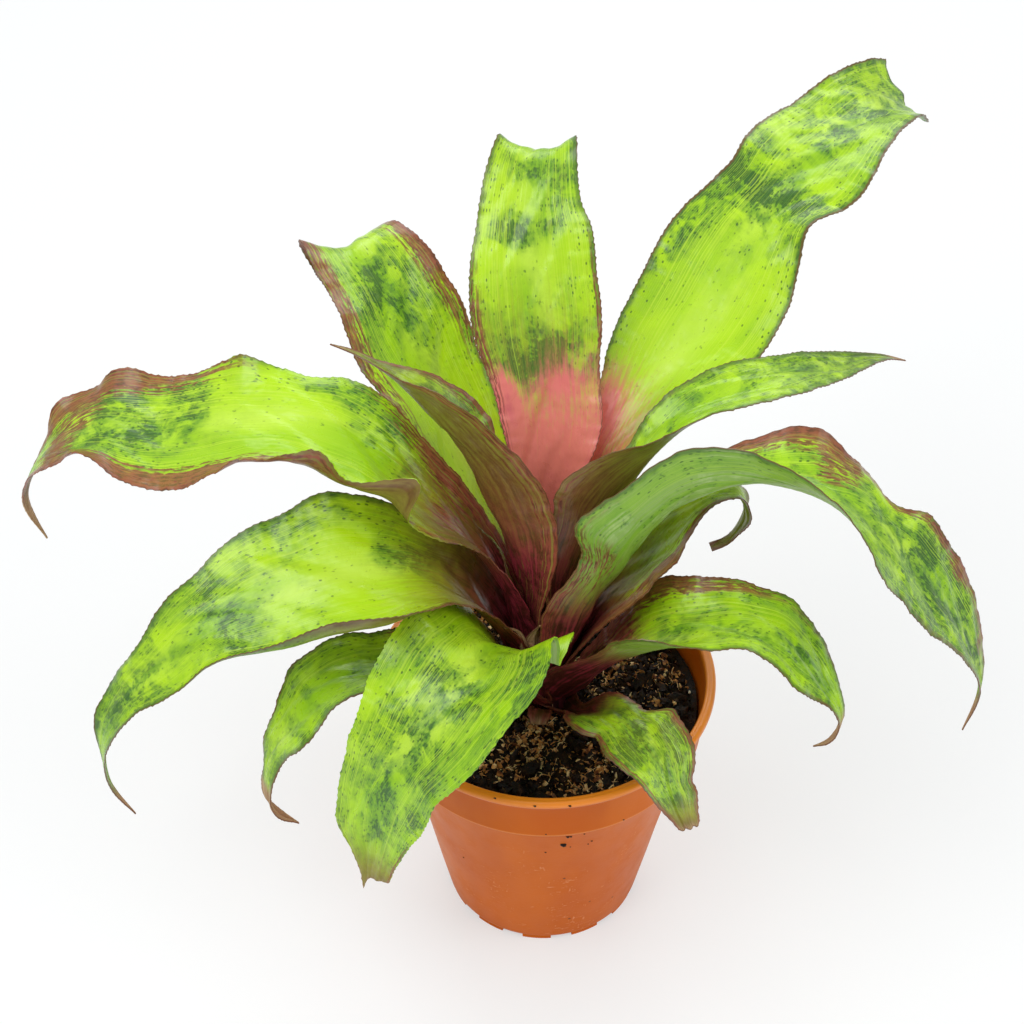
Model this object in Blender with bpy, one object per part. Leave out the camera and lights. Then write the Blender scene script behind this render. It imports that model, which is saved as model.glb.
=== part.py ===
"""Potted earth star plant: a turned plastic pot, its soil, and a short stem with a rosette of leaves.

Each leaf is a blank of rows and columns bent to a midrib route, then given its thickness.
Metres, +Z up. The origin is on the pot's axis, at the level of the surface it stands on.
"""

import math

import bmesh
import bpy
import numpy as np

MM = 0.001
GAP = 0.3 * MM  # clearance that touching pieces keep
SHARP_ANGLE = 40  # degrees past which an edge isn't shaded smooth

# Pot: a 12 cm nursery pot
POT_HEIGHT = 108 * MM
LIP_RADIUS = 61 * MM
LIP_WIDTH = 3.6 * MM
LIP_DEPTH = 2.6 * MM
COLLAR_DEPTH = 17 * MM
COLLAR_STEP = 1.1 * MM
COLLAR_TOP_RADIUS = 58.6 * MM
BODY_TOP_RADIUS = 55.5 * MM
BASE_RADIUS = 38 * MM
BASE_ROUND = 1.6 * MM
WALL = 1.3 * MM
FLOOR_THICKNESS = 1.5 * MM
FOOT_HEIGHT = 2.0 * MM
FOOT_WIDTH = 3.2 * MM
FOOT_OUTER = 35.6 * MM
FOOT_COUNT = 10
FOOT_SHARE = 3 / 5  # of its sector that a foot fills
POT_SEGMENTS = 50
HOLE_COUNT = 8
HOLE_RADIUS = 3.5 * MM
HOLE_CIRCLE = 25 * MM

# Soil and stem
SOIL_TOP = 95.5 * MM
SOIL_MOUND = 1.5 * MM
SOIL_SEGMENTS = 40
STEM_RADIUS = 9 * MM
STEM_TIP_RADIUS = 3.2 * MM
STEM_BURIED = 9 * MM
STEM_TOP = 126 * MM
STEM_SEGMENTS = 24

# Leaves
LEAF_THICKNESS = 1.1 * MM
LEAF_ROWS = 20
LEAF_COLUMNS = 6
NARROWEST = 2.0 * MM  # breadth below which a dry tip doesn't go
FOLD_REACH = 0.5  # share of each half over which the fold opens out
RUFFLE_POWER = 2.2  # how closely the ruffles keep to the margins

# heading: which way the leaf grows, in degrees anticlockwise from +X.
# route: the midrib as (reach, height, drift to its left) in millimetres, from the stem to the tip.
# widths: full breadth in millimetres, at even steps from base to tip.
# rolls, folds: degrees the blade's left side lifts over its right, and each half lifts from flat.
# left_shares: how much of the breadth lies left of the midrib, where that isn't half.
# left, right: how far a wavy margin ruffles up in millimetres, at even steps.
LEAVES = {
    "leaf_left_long": {
        "heading": 170,
        "route": [(8.4, 108, -0.3), (11.8, 134, 0), (18, 155, 0), (29, 173, 0), (43, 188, 0),
                  (61, 204, 0), (84, 213, 0), (108, 210, 0), (132, 202, 0), (154, 200, 0), (171, 190, 0),
                  (181, 178, 0), (186, 162, 0), (181, 145, 0)],
        "widths": [6, 10, 19, 27, 37, 43, 47, 52, 48, 40, 18, 4, 2],
        "rolls": [12, 20, 12, -6, -12, -12, -12, -12, 0, 0],
        "folds": [20, 25, 35, 25, 10, 5, 5, 5, 10, 20],
        "left": [0, 0, 0, 0, 0, 0, 0, 8, -3, 8, -2, 0, -2, -3, 0, 6, 2, 0, 0, 0, 0],
        "right": [0, 0, 0, 0, 0, 0, 0, -3, 0, 1, 4, 0, -2, 0, 4, 3, 0, 0, 0, 0, 0],
    },
    "leaf_left_low": {
        "heading": 195,
        "route": [(9.1, 103, 0.2), (14, 125, -1), (23, 145, -1), (35, 163, 0), (50, 173, 0),
                  (68, 177, 0), (86, 175, 0), (102, 171, 0), (118, 163, 0), (133, 151, 0), (147, 137, 0),
                  (157, 119, 0), (158, 97, 0), (151, 77, 0)],
        "widths": [6, 12, 24, 38, 52, 56, 49, 34, 30, 19, 12, 4, 1],
        "rolls": [0, 0, -5, -12, -20, -30, -30, -20, 0, 0],
        "folds": [25, 40, 35, 20, 10, 5, 5, 5, 10, 20],
        "left": [0, 0, 0, 3, 6, 7, 4, 0, -2, 0, 2, 0, 0, 0, 0, 0, 0],
        "right": [0, 0, 0, 0, 0, 0, 2, 0, -1, 0, 3, 0, -2, 2, 0, 0, 0],
    },
    "leaf_back_left": {
        "heading": 123,
        "route": [(6.7, 115, 0), (14, 137, 0), (25, 154, 0), (40, 170, 2), (57, 185, 2), (73, 198, 3),
                  (90, 212, 3), (108, 223, 3), (124, 228, 3), (135, 220, 3), (140, 200, 3)],
        "widths": [6, 9, 15, 25, 36, 42, 45, 46, 44, 36, 8],
        "rolls": [8, 18, 12, 0, 0],
        "folds": [25, 30, 30, 20, 15, 15, 15, 20],
        "left": [0, 0, 2, 2, 0, 0, 2, -2, 3, 0, 0, 0, 0],
        "right": [0, 0, 0, 0, 0, 0, 0, 0, 0, 0, -2, 0, 0],
    },
    "leaf_back_upright": {
        "heading": 91,
        "route": [(5.8, 118, 0.3), (14, 147, 1), (26, 177, 1), (40, 205, 1), (55, 231, 3), (72, 256, 5),
                  (90, 271, 3), (103, 268, 1), (110, 250, 1), (113, 228, 1)],
        "widths": [4.5, 11.5, 19, 28, 37, 43, 43, 36, 27, 20, 6],
        "folds": [25, 45, 30, 12, 8, 5, 10, 20],
        "left": [0, 0, 0, 0, 0, 0, 0, 2, -3, 0, 3, 0, 0],
        "right": [0, 0, 0, 0, 0, 0, 0, 0, 3, -2, 2, 0, 0],
    },
    "leaf_back_right_long": {
        "heading": 53,
        "route": [(6.2, 116, -0.7), (15, 143, 1), (26, 167, 2), (39, 188, -1), (61, 203, -2),
                  (90, 216, -2), (119, 231, -1), (148, 241, -1), (178, 245, -3), (204, 244, -2),
                  (218, 236, 0), (224, 218, 0), (224, 198, 0)],
        "widths": [4.5, 10, 18, 26, 42, 52, 54, 50, 48, 46, 40, 30, 6],
        "rolls": [-5, -12, -5, 5, 14, 4, 5, 30, 45],
        "folds": [25, 30, 30, 15, 8, 8, 8, 15, 20],
        "left": [0, 0, 0, 0, 0, 0, 0, 0, 0, 0, 3, -3, 0, 2, 0, 3, 0],
        "right": [0, 0, 0, 0, 0, -2, -4, -7, -5, 7, -3, 0, 0, 3, 0, 0, 0],
    },
    "leaf_right_narrow": {
        "heading": 33,
        "route": [(5.1, 122, 0), (8, 148, -1), (14, 164, -2), (24, 180, -4), (35, 195, -5),
                  (50, 207, -6), (68, 211, -6), (87, 211, -6), (106, 206, -4), (126, 198, -1),
                  (143, 191, 0), (156, 183, 0)],
        "widths": [6, 9, 18, 26, 28, 28, 27, 25, 22, 15, 6, 1],
        "left_shares": [0.45, 0.35, 0.3, 0.38, 0.45, 0.45, 0.4, 0.4, 0.45],
        "rolls": [0, -38, -50, -44, -10, 5, 5, 0, 0],
        "folds": [30, 60, 62, 52, 28, 12, 8, 15, 20],
    },
    "leaf_left_folded": {
        "heading": 148,
        "blade": "bronze",
        "route": [(4.4, 125, 0), (7, 142, 1), (12, 157, 2), (20, 174, 2), (30, 191, 2), (43, 206, 2),
                  (58, 214, 1), (74, 219, 0), (87, 222, 0)],
        "widths": [6, 14, 27, 36, 39, 38, 30, 13, 1],
        "left_shares": [0.6, 0.7, 0.75, 0.76, 0.75, 0.68, 0.55, 0.5],
        "rolls": [0, 32, 44, 45, 38, 25, 8, 0],
        "folds": [30, 55, 58, 58, 55, 55, 50, 40],
    },
    "leaf_right_arching": {
        "heading": 352,
        "route": [(6.7, 113, 0), (11, 129, 0), (17, 146, 0), (26, 166, 0), (35, 183, 0), (46, 198, 0),
                  (61, 207, 0), (78, 209, 0), (96, 205, 0), (111, 194, 0), (124, 178, 0), (136, 161, 0),
                  (146, 143, 0), (152, 123, 0), (149, 101, 0)],
        "widths": [9, 22, 36, 42, 42, 42, 44, 42, 38, 32, 20, 3, 1],
        "rolls": [0, -20, -30, -35, -40, -25, 5, 15, 15, 5, 0],
        "folds": [25, 50, 55, 60, 50, 28, 12, 8, 8, 12, 20],
        "left": [0, 0, 0, 0, 0, 3, 9, -6, 3, 0, 0, 0, 0],
        "right": [0, 0, 4, 0, 3, 0, 0, 0, 0, 0, 0],
    },
    "leaf_right_hidden": {
        "heading": 14,
        "route": [(7.9, 107, 0), (13, 125, 0), (22, 141, 0), (34, 156, 0), (46, 171, 0), (57, 181, 0),
                  (67, 181, 0), (71, 170, 0), (66, 160, 0), (59, 157, 0)],
        "widths": [6, 10, 22, 34, 38, 30, 20, 12, 8, 1],
        "folds": [15, 25, 20, 12, 15, 20],
    },
    "leaf_right_low": {
        "heading": 340,
        "route": [(9.2, 100, 0), (20, 123, 0), (31, 141, 0), (43, 150, 0), (55, 154, 0), (69, 157, 0),
                  (82, 155, 1), (92, 146, 2), (99, 137, 3), (105, 130, 1), (107, 122, 0), (104, 112, 0),
                  (99, 107, 0)],
        "widths": [8, 14, 25, 34, 38, 38, 38, 37, 35, 27, 8, 7, 1],
        "rolls": [0, -18, -12, -5, 0],
        "folds": [15, 30, 30, 10, 5, 5, 20],
        "left": [0, 0, 0, 0, 0, 0, 3, 0, 0, 0, 0, 0, 0],
        "right": [0, 0, 0, 3, 7, 6, 0, 2, 0, 0, 0, 0, 0],
    },
    "leaf_front_small": {
        "heading": 303,
        "route": [(9.8, 98, 0), (19, 104, 0), (30, 114, 0), (42, 124, 1), (54, 125, 2), (66, 123, 2),
                  (77, 117, 1), (91, 109, 0)],
        "widths": [8, 10, 18, 26, 28, 30, 30, 27, 18, 9],
        "folds": [25, 40, 20, 10, 10],
        "left": [0, 0, 0, 0, -5, 0, 0, 0, 0, 0],
        "right": [0, 0, 0, -2, -4, 0, 0, 0, 0],
    },
    "leaf_front_broad": {
        "heading": 233,
        "route": [(9, 101, 0.7), (20, 127, 0), (33, 147, 2), (48, 156, 7), (62, 156, 8), (74, 147, 6),
                  (82, 135, 2), (88, 118, -4), (93, 98, -4), (97, 80, -2)],
        "widths": [6, 16, 37, 52, 57, 52, 41, 35, 25, 9],
        "rolls": [5, 5, 0, 0, 0, 0],
        "folds": [15, 30, 30, 15, 10, 10],
        "left": [0, 0, 2, 6, 0, 0, 0, 0, 0, 0],
    },
    "leaf_left_small": {
        "heading": 205,
        "route": [(9.4, 99, 0.3), (21, 116, 0), (37, 127, 0), (54, 136, 0), (68, 141, 0), (81, 140, 0),
                  (90, 133, 0), (98, 123, 0), (104, 112, 0), (107, 100, 0), (106, 88, 0), (97, 74, 0)],
        "widths": [6, 11, 21, 28, 32, 32, 29, 26, 20, 10, 5, 4, 1],
        "folds": [15, 30, 15, 5, 10],
        "left": [0, 0, 0, 0, 0, 0, 2, -2, 0, -2, 0, 0, 0],
        "right": [0, 0, 0, 0, 0, 2, -1, 0, 1, 0, 0, 0, 0],
    },
    "leaf_stub": {
        "heading": 262,
        "blade": "bronze",
        "route": [(9.6, 98.5, 0), (12, 101.5, 0), (15.5, 103, 0), (19, 101.5, 0)],
        "widths": [5, 8, 9, 6],
        "folds": [20, 20],
    },
}


def along(values, share):
    """A smooth value (or row of values) at a share from 0 to 1 of evenly spaced ones."""
    values = np.asarray(values, float)
    place = min(max(share, 0.0), 1.0) * (len(values) - 1)
    i = min(int(place), len(values) - 2)
    f = place - i
    a, b = values[i], values[i + 1]
    before = values[max(i - 1, 0)]
    after = values[min(i + 2, len(values) - 1)]
    bend = 2 * before - 5 * a + 4 * b - after
    twist = 3 * (a - b) + after - before
    return a + 0.5 * f * (b - before + f * (bend + f * twist))


def midrib(leaf, steps):
    """Points of the midrib in metres, evenly spaced along it, and the direction to the leaf's left."""
    turn = math.radians(leaf["heading"])
    out = np.array([math.cos(turn), math.sin(turn), 0.0])
    left = np.array([-math.sin(turn), math.cos(turn), 0.0])
    up = np.array([0.0, 0.0, 1.0])
    route = np.array([along(leaf["route"], share) for share in np.linspace(0, 1, 400)]) * MM
    points = route[:, :1] * out + route[:, 1:2] * up + route[:, 2:] * left
    lengths = np.concatenate([[0], np.cumsum(np.linalg.norm(np.diff(points, axis=0), axis=1))])
    even = np.linspace(0, lengths[-1], steps)
    return np.stack([np.interp(even, lengths, points[:, k]) for k in range(3)], axis=1), left


def half_section(width, fold, columns):
    """(across, lift) from the midrib to a margin, lifted from flat by the fold."""
    across, lift = [0.0], [0.0]
    for k in range(columns):
        share = (k + 0.5) / columns
        angle = math.radians(fold) * min(1.0, share / FOLD_REACH)
        across.append(across[-1] + width / columns * math.cos(angle))
        lift.append(lift[-1] + width / columns * math.sin(angle))
    return list(zip(across, lift))


def leaf_rows(leaf, rows, columns):
    """The blade's middle surface as rows of points, each from the right margin to the left."""
    points, left = midrib(leaf, rows + 1)
    made = []
    for i, point in enumerate(points):
        share = i / rows
        forward = points[min(i + 1, rows)] - points[max(i - 1, 0)]
        forward /= np.linalg.norm(forward)
        side = left - (left @ forward) * forward
        side /= np.linalg.norm(side)
        top = np.cross(forward, side)
        roll = math.radians(along(leaf.get("rolls", [0, 0]), share))
        leaning_side = side * math.cos(roll) + top * math.sin(roll)
        leaning_top = top * math.cos(roll) - side * math.sin(roll)
        breadth = max(along(leaf["widths"], share) * MM, NARROWEST)
        fold = along(leaf["folds"], share)
        left_share = along(leaf.get("left_shares", [0.5, 0.5]), share)
        left_half = half_section(breadth * left_share, fold, columns // 2)
        right_half = half_section(breadth * (1 - left_share), fold, columns // 2)
        section = [(-across, lift) for across, lift in right_half[:0:-1]] + left_half
        ruffles = [along(leaf.get(margin, [0, 0]), share) * MM for margin in ("right", "left")]
        row = []
        for k, (across, lift) in enumerate(section):
            reach = 2 * k / columns - 1
            lift += ruffles[reach > 0] * abs(reach) ** RUFFLE_POWER
            row.append(point + leaning_side * across + leaning_top * lift)
        made.append(row)
    return made


def clear_scene():
    for found in list(bpy.data.objects):
        bpy.data.objects.remove(found)


def plain_material(name, colour, roughness):
    material = bpy.data.materials.new(name)
    material.use_nodes = True
    shader = material.node_tree.nodes["Principled BSDF"]
    shader.inputs["Base Color"].default_value = (*colour, 1.0)
    shader.inputs["Roughness"].default_value = roughness
    shader.inputs["Metallic"].default_value = 0.0
    material.diffuse_color = (*colour, 1.0)
    return material


def add_piece(name, mesh, material, parent):
    """Put a bmesh into the scene as a named object, smooth but for its sharp edges."""
    data = bpy.data.meshes.new(name)
    mesh.to_mesh(data)
    mesh.free()
    data.materials.append(material)
    data.shade_smooth()
    data.set_sharp_from_angle(angle=math.radians(SHARP_ANGLE))
    piece = bpy.data.objects.new(name, data)
    bpy.context.collection.objects.link(piece)
    piece.parent = parent
    return piece


def turned(profile, segments):
    """A solid turned about +Z from (radius, height) points that start and end on the axis."""
    mesh = bmesh.new()
    points = [mesh.verts.new((radius, 0, height)) for radius, height in profile]
    edges = [mesh.edges.new(pair) for pair in zip(points, points[1:])]
    bmesh.ops.spin(mesh, geom=points + edges, cent=(0, 0, 0), axis=(0, 0, 1), angle=2 * math.pi,
                   steps=segments, use_merge=True)
    bmesh.ops.remove_doubles(mesh, verts=mesh.verts, dist=GAP / 30)
    bmesh.ops.recalc_face_normals(mesh, faces=mesh.faces)
    return mesh


def wall_radius(height):
    """Outer radius of the pot's body, which tapers from the collar to the base."""
    share = (height - FOOT_HEIGHT) / (POT_HEIGHT - COLLAR_DEPTH - FOOT_HEIGHT)
    return BASE_RADIUS + (BODY_TOP_RADIUS - BASE_RADIUS) * share


def pot_profile():
    collar_foot = POT_HEIGHT - COLLAR_DEPTH
    lip_foot = POT_HEIGHT - LIP_DEPTH
    floor_top = FOOT_HEIGHT + FLOOR_THICKNESS
    inside_of_lip = LIP_RADIUS - LIP_WIDTH
    return [
        (0, FOOT_HEIGHT),
        (FOOT_OUTER - FOOT_WIDTH, FOOT_HEIGHT),
        (FOOT_OUTER, FOOT_HEIGHT),
        (BASE_RADIUS - BASE_ROUND, FOOT_HEIGHT),
        (BASE_RADIUS - 0.3 * BASE_ROUND, FOOT_HEIGHT + 0.3 * BASE_ROUND),
        (wall_radius(FOOT_HEIGHT + BASE_ROUND), FOOT_HEIGHT + BASE_ROUND),
        (wall_radius(collar_foot - COLLAR_STEP), collar_foot - COLLAR_STEP),
        (BODY_TOP_RADIUS + COLLAR_STEP, collar_foot),
        (COLLAR_TOP_RADIUS, lip_foot - LIP_DEPTH / 4),
        (LIP_RADIUS - LIP_DEPTH / 6, lip_foot),
        (LIP_RADIUS, lip_foot + LIP_DEPTH / 4),
        (LIP_RADIUS, POT_HEIGHT - LIP_DEPTH / 3),
        (LIP_RADIUS - LIP_DEPTH / 4, POT_HEIGHT),
        (inside_of_lip + LIP_DEPTH / 4, POT_HEIGHT),
        (inside_of_lip, POT_HEIGHT - LIP_DEPTH / 3),
        (COLLAR_TOP_RADIUS - WALL, lip_foot - LIP_DEPTH),
        (BODY_TOP_RADIUS - WALL + COLLAR_STEP, collar_foot),
        (wall_radius(collar_foot - 2 * COLLAR_STEP) - WALL, collar_foot - 2 * COLLAR_STEP),
        (wall_radius(floor_top) - WALL, floor_top),
        (0, floor_top),
    ]


def add_feet(mesh):
    """Draw a share of each sector of the ring under the pot's floor down to the table."""
    underside = []
    for face in mesh.faces:
        middle = face.calc_center_median()
        in_ring = FOOT_OUTER - FOOT_WIDTH < math.hypot(middle.x, middle.y) < FOOT_OUTER
        sector = (math.atan2(middle.y, middle.x) / math.tau * FOOT_COUNT) % 1.0
        if in_ring and middle.z < FOOT_HEIGHT + GAP and sector < FOOT_SHARE:
            underside.append(face)
    grown = bmesh.ops.extrude_face_region(mesh, geom=underside)["geom"]
    bmesh.ops.delete(mesh, geom=underside, context="FACES_ONLY")
    drawn = [item for item in grown if isinstance(item, bmesh.types.BMVert)]
    bmesh.ops.translate(mesh, verts=drawn, vec=(0, 0, -FOOT_HEIGHT))


def build_pot(material, parent):
    mesh = turned(pot_profile(), POT_SEGMENTS)
    add_feet(mesh)
    pot = add_piece("pot", mesh, material, parent)
    drills = bmesh.new()
    for k in range(HOLE_COUNT):
        angle = math.tau * (k + 0.5) / HOLE_COUNT
        hole = bmesh.ops.create_cone(drills, cap_ends=True, segments=16, radius1=HOLE_RADIUS,
                                     radius2=HOLE_RADIUS, depth=6 * FLOOR_THICKNESS)
        spot = (HOLE_CIRCLE * math.cos(angle), HOLE_CIRCLE * math.sin(angle), FOOT_HEIGHT)
        bmesh.ops.translate(drills, verts=hole["verts"], vec=spot)
    cutter = add_piece("pot_drills", drills, material, parent)
    cutter.hide_render = True
    cutter.display_type = "WIRE"
    drilling = pot.modifiers.new("Drain holes", "BOOLEAN")
    drilling.operation = "DIFFERENCE"
    drilling.solver = "EXACT"
    drilling.object = cutter
    return pot


def build_soil(material, parent):
    floor = FOOT_HEIGHT + FLOOR_THICKNESS + GAP
    facets = math.cos(math.pi / POT_SEGMENTS)
    collar_foot = POT_HEIGHT - COLLAR_DEPTH
    bend = collar_foot - 2 * COLLAR_STEP

    def inside(height):
        return (wall_radius(height) - WALL) * facets - 1.5 * GAP

    pocket = STEM_RADIUS + GAP
    mound_radius = 0.6 * inside(SOIL_TOP)
    mesh = turned([
        (0, floor),
        (inside(floor), floor),
        (inside(bend), bend),
        (inside(bend), SOIL_TOP),
        (mound_radius, SOIL_TOP + 0.6 * SOIL_MOUND),
        (pocket, SOIL_TOP + SOIL_MOUND),
        (pocket, SOIL_TOP - STEM_BURIED),
        (0, SOIL_TOP - STEM_BURIED),
    ], SOIL_SEGMENTS)
    return add_piece("soil", mesh, material, parent)


def build_stem(material, parent):
    foot = SOIL_TOP - STEM_BURIED + GAP
    mesh = turned([
        (0, foot),
        (STEM_RADIUS, foot),
        (STEM_RADIUS, SOIL_TOP),
        (STEM_TIP_RADIUS, STEM_TOP),
        (0.6 * STEM_TIP_RADIUS, STEM_TOP + 0.6 * STEM_TIP_RADIUS),
        (0, STEM_TOP + 0.8 * STEM_TIP_RADIUS),
    ], STEM_SEGMENTS)
    return add_piece("stem", mesh, material, parent)


def build_leaf(name, leaf, material, parent):
    mesh = bmesh.new()
    rows = [[mesh.verts.new(point) for point in row] for row in leaf_rows(leaf, LEAF_ROWS, LEAF_COLUMNS)]
    for near, far in zip(rows, rows[1:]):
        for k in range(LEAF_COLUMNS):
            mesh.faces.new((near[k], far[k], far[k + 1], near[k + 1]))
    blade = add_piece(name, mesh, material, parent)
    flesh = blade.modifiers.new("Thickness", "SOLIDIFY")
    flesh.thickness = LEAF_THICKNESS
    flesh.offset = 0.0
    return blade


def build_plant():
    clear_scene()
    plant = bpy.data.objects.new("earth_star_plant", None)
    bpy.context.collection.objects.link(plant)
    plastic = plain_material("pot_plastic", (0.51, 0.13, 0.03), 0.45)
    earth = plain_material("potting_soil", (0.012, 0.008, 0.005), 0.95)
    stalk = plain_material("stem_tissue", (0.12, 0.035, 0.03), 0.6)
    blades = {
        "lime": plain_material("leaf_lime", (0.38, 0.66, 0.04), 0.4),
        "bronze": plain_material("leaf_bronze", (0.22, 0.13, 0.05), 0.45),
    }
    build_pot(plastic, plant)
    build_soil(earth, plant)
    build_stem(stalk, plant)
    for name, leaf in LEAVES.items():
        build_leaf(name, leaf, blades[leaf.get("blade", "lime")], plant)


build_plant()
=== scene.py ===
# Potted earth star: mottled strap leaves on a short stem, in soil, in a moulded plastic pot
import bpy, bmesh, math, random
import numpy as np
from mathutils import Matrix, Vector, noise


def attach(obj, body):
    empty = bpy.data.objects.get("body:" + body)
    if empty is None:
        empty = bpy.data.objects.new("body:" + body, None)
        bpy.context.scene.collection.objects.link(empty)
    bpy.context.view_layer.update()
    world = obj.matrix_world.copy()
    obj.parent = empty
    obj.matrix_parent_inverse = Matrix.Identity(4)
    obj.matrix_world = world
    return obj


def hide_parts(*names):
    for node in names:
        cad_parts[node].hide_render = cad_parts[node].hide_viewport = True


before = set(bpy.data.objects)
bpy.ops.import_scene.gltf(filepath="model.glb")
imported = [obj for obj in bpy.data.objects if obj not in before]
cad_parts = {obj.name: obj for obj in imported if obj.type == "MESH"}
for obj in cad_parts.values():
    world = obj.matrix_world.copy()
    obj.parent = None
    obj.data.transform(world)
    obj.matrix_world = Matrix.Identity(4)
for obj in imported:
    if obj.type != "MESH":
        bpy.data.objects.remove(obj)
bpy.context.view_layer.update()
mm = 0.001
print("frame loaded:", len(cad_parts), "nodes")


def clearSelection():
    if bpy.context.object and bpy.context.object.mode != "OBJECT":
        bpy.ops.object.mode_set(mode="OBJECT")
    bpy.ops.object.select_all(action="DESELECT")


def pickOnly(piece):
    clearSelection()
    bpy.context.view_layer.objects.active = piece
    piece.select_set(True)


def openForEdit(piece):  # only this piece, in edit mode, with nothing in it picked
    pickOnly(piece)
    bpy.ops.object.mode_set(mode="EDIT")
    bpy.ops.mesh.select_all(action="DESELECT")


def closeEdit():
    bpy.ops.object.mode_set(mode="OBJECT")


def startRing(name, steps, radius, height, filled):  # a level circle, in millimetres, picked and in edit mode
    clearSelection()
    bpy.ops.mesh.primitive_circle_add(vertices=steps, radius=radius * mm, location=(0, 0, height * mm),
                                      fill_type="NGON" if filled else "NOTHING")
    piece = bpy.context.object
    piece.name = name
    bpy.ops.object.transform_apply(location=True, rotation=True, scale=True)
    openForEdit(piece)
    bpy.ops.mesh.select_mode(type="FACE" if filled else "VERT")
    bpy.ops.mesh.select_all(action="SELECT")
    return piece


def drawRings(piece, rings):  # extrudes the picked ring through (radius, height) pairs, in millimetres
    ring = [v for v in bmesh.from_edit_mesh(piece.data).verts if v.select]
    nowRadius, nowHeight = math.hypot(*ring[0].co.xy) / mm, ring[0].co.z / mm
    for radius, height in rings:
        bpy.ops.mesh.extrude_region_move(TRANSFORM_OT_translate={"value": (0, 0, (height - nowHeight) * mm)})
        growth = radius / nowRadius
        bpy.ops.transform.resize(value=(growth, growth, 1), center_override=(0, 0, height * mm))
        nowRadius, nowHeight = radius, height


def pickOpenEdges(piece):
    bpy.ops.mesh.select_mode(type="EDGE")
    bpy.ops.mesh.select_all(action="DESELECT")
    for edge in bmesh.from_edit_mesh(piece.data).edges:
        edge.select = edge.is_boundary


def turnOutward():  # every face of the piece in edit mode
    bpy.ops.mesh.select_all(action="SELECT")
    bpy.ops.mesh.normals_make_consistent(inside=False)


def applyModifiers(piece):
    pickOnly(piece)
    for modifier in list(piece.modifiers):
        bpy.ops.object.modifier_apply(modifier=modifier.name)


def settle(piece, body, slotName, *nodes):  # its place goes into its mesh, and it stands for its nodes
    pickOnly(piece)
    bpy.ops.object.transform_apply(location=True, rotation=True, scale=True)
    bpy.ops.object.shade_smooth_by_angle(angle=math.radians(50))
    piece.select_set(False)
    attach(piece, body)
    if nodes:
        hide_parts(*nodes)
    print("made", piece.name, len(piece.data.polygons), "faces")


def linear(red, green, blue):  # a colour picked as 0 to 255 becomes the shader's linear one
    shares = [c / 255 for c in (red, green, blue)]
    return tuple(c / 12.92 if c < 0.04045 else ((c + 0.055) / 1.055) ** 2.4 for c in shares) + (1.0,)


def newMaterial(name):
    material = bpy.data.materials.new(name)
    material.use_nodes = True
    return material, material.node_tree, material.node_tree.nodes["Principled BSDF"]


def place(tree, kind, inputs, **settings):
    node = tree.nodes.new(kind)
    for key, value in settings.items():
        setattr(node, key, value)
    for key, value in inputs.items():
        if hasattr(value, "is_output"):
            tree.links.new(value, node.inputs[key])
        else:
            node.inputs[key].default_value = value
    return node


def objectPoints(tree, scale=(1, 1, 1)):
    coords = tree.nodes.new("ShaderNodeTexCoord")
    return place(tree, "ShaderNodeMapping", {"Vector": coords.outputs["Object"], "Scale": scale}).outputs[0]


def uvPoints(tree, layer, scale=(1, 1, 1), shift=(0, 0, 0)):
    layerNode = place(tree, "ShaderNodeUVMap", {}, uv_map=layer)
    return place(tree, "ShaderNodeMapping",
                 {"Vector": layerNode.outputs[0], "Scale": scale, "Location": shift}).outputs[0]


def cloud(tree, points, scale, detail=3.0, roughness=0.55, distortion=0.0):
    return place(tree, "ShaderNodeTexNoise", {"Vector": points, "Scale": scale, "Detail": detail,
                 "Roughness": roughness, "Distortion": distortion}).outputs["Fac"]


def fade(tree, value, start, end, low=0.0, high=1.0):  # eases from low to high as value passes start to end
    return place(tree, "ShaderNodeMapRange", {"Value": value, "From Min": start, "From Max": end,
                 "To Min": low, "To Max": high}, interpolation_type="SMOOTHSTEP").outputs[0]


def maths(tree, operation, first, second, third=None):
    node = place(tree, "ShaderNodeMath", {0: first, 1: second}, operation=operation)
    if third is not None:
        node.inputs[2].default_value = third
    return node.outputs[0]


def times(tree, first, second):
    return maths(tree, "MULTIPLY", first, second)


def plus(tree, first, second):
    return maths(tree, "ADD", first, second)


def blendColours(tree, under, over, share):
    node = tree.nodes.new("ShaderNodeMix")
    node.data_type = "RGBA"
    for socket, value in ((node.inputs[0], share), (node.inputs[6], under), (node.inputs[7], over)):
        if hasattr(value, "is_output"):
            tree.links.new(value, socket)
        else:
            socket.default_value = value
    return node.outputs[2]


def bumpFrom(tree, height, distance, strength=1.0, onto=None):
    inputs = {"Height": height, "Distance": distance, "Strength": strength}
    if onto is not None:
        inputs["Normal"] = onto
    return place(tree, "ShaderNodeBump", inputs).outputs[0]


# leaf tissue: every tone below is laid over the green where the leaf's own lists ask for it

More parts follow.
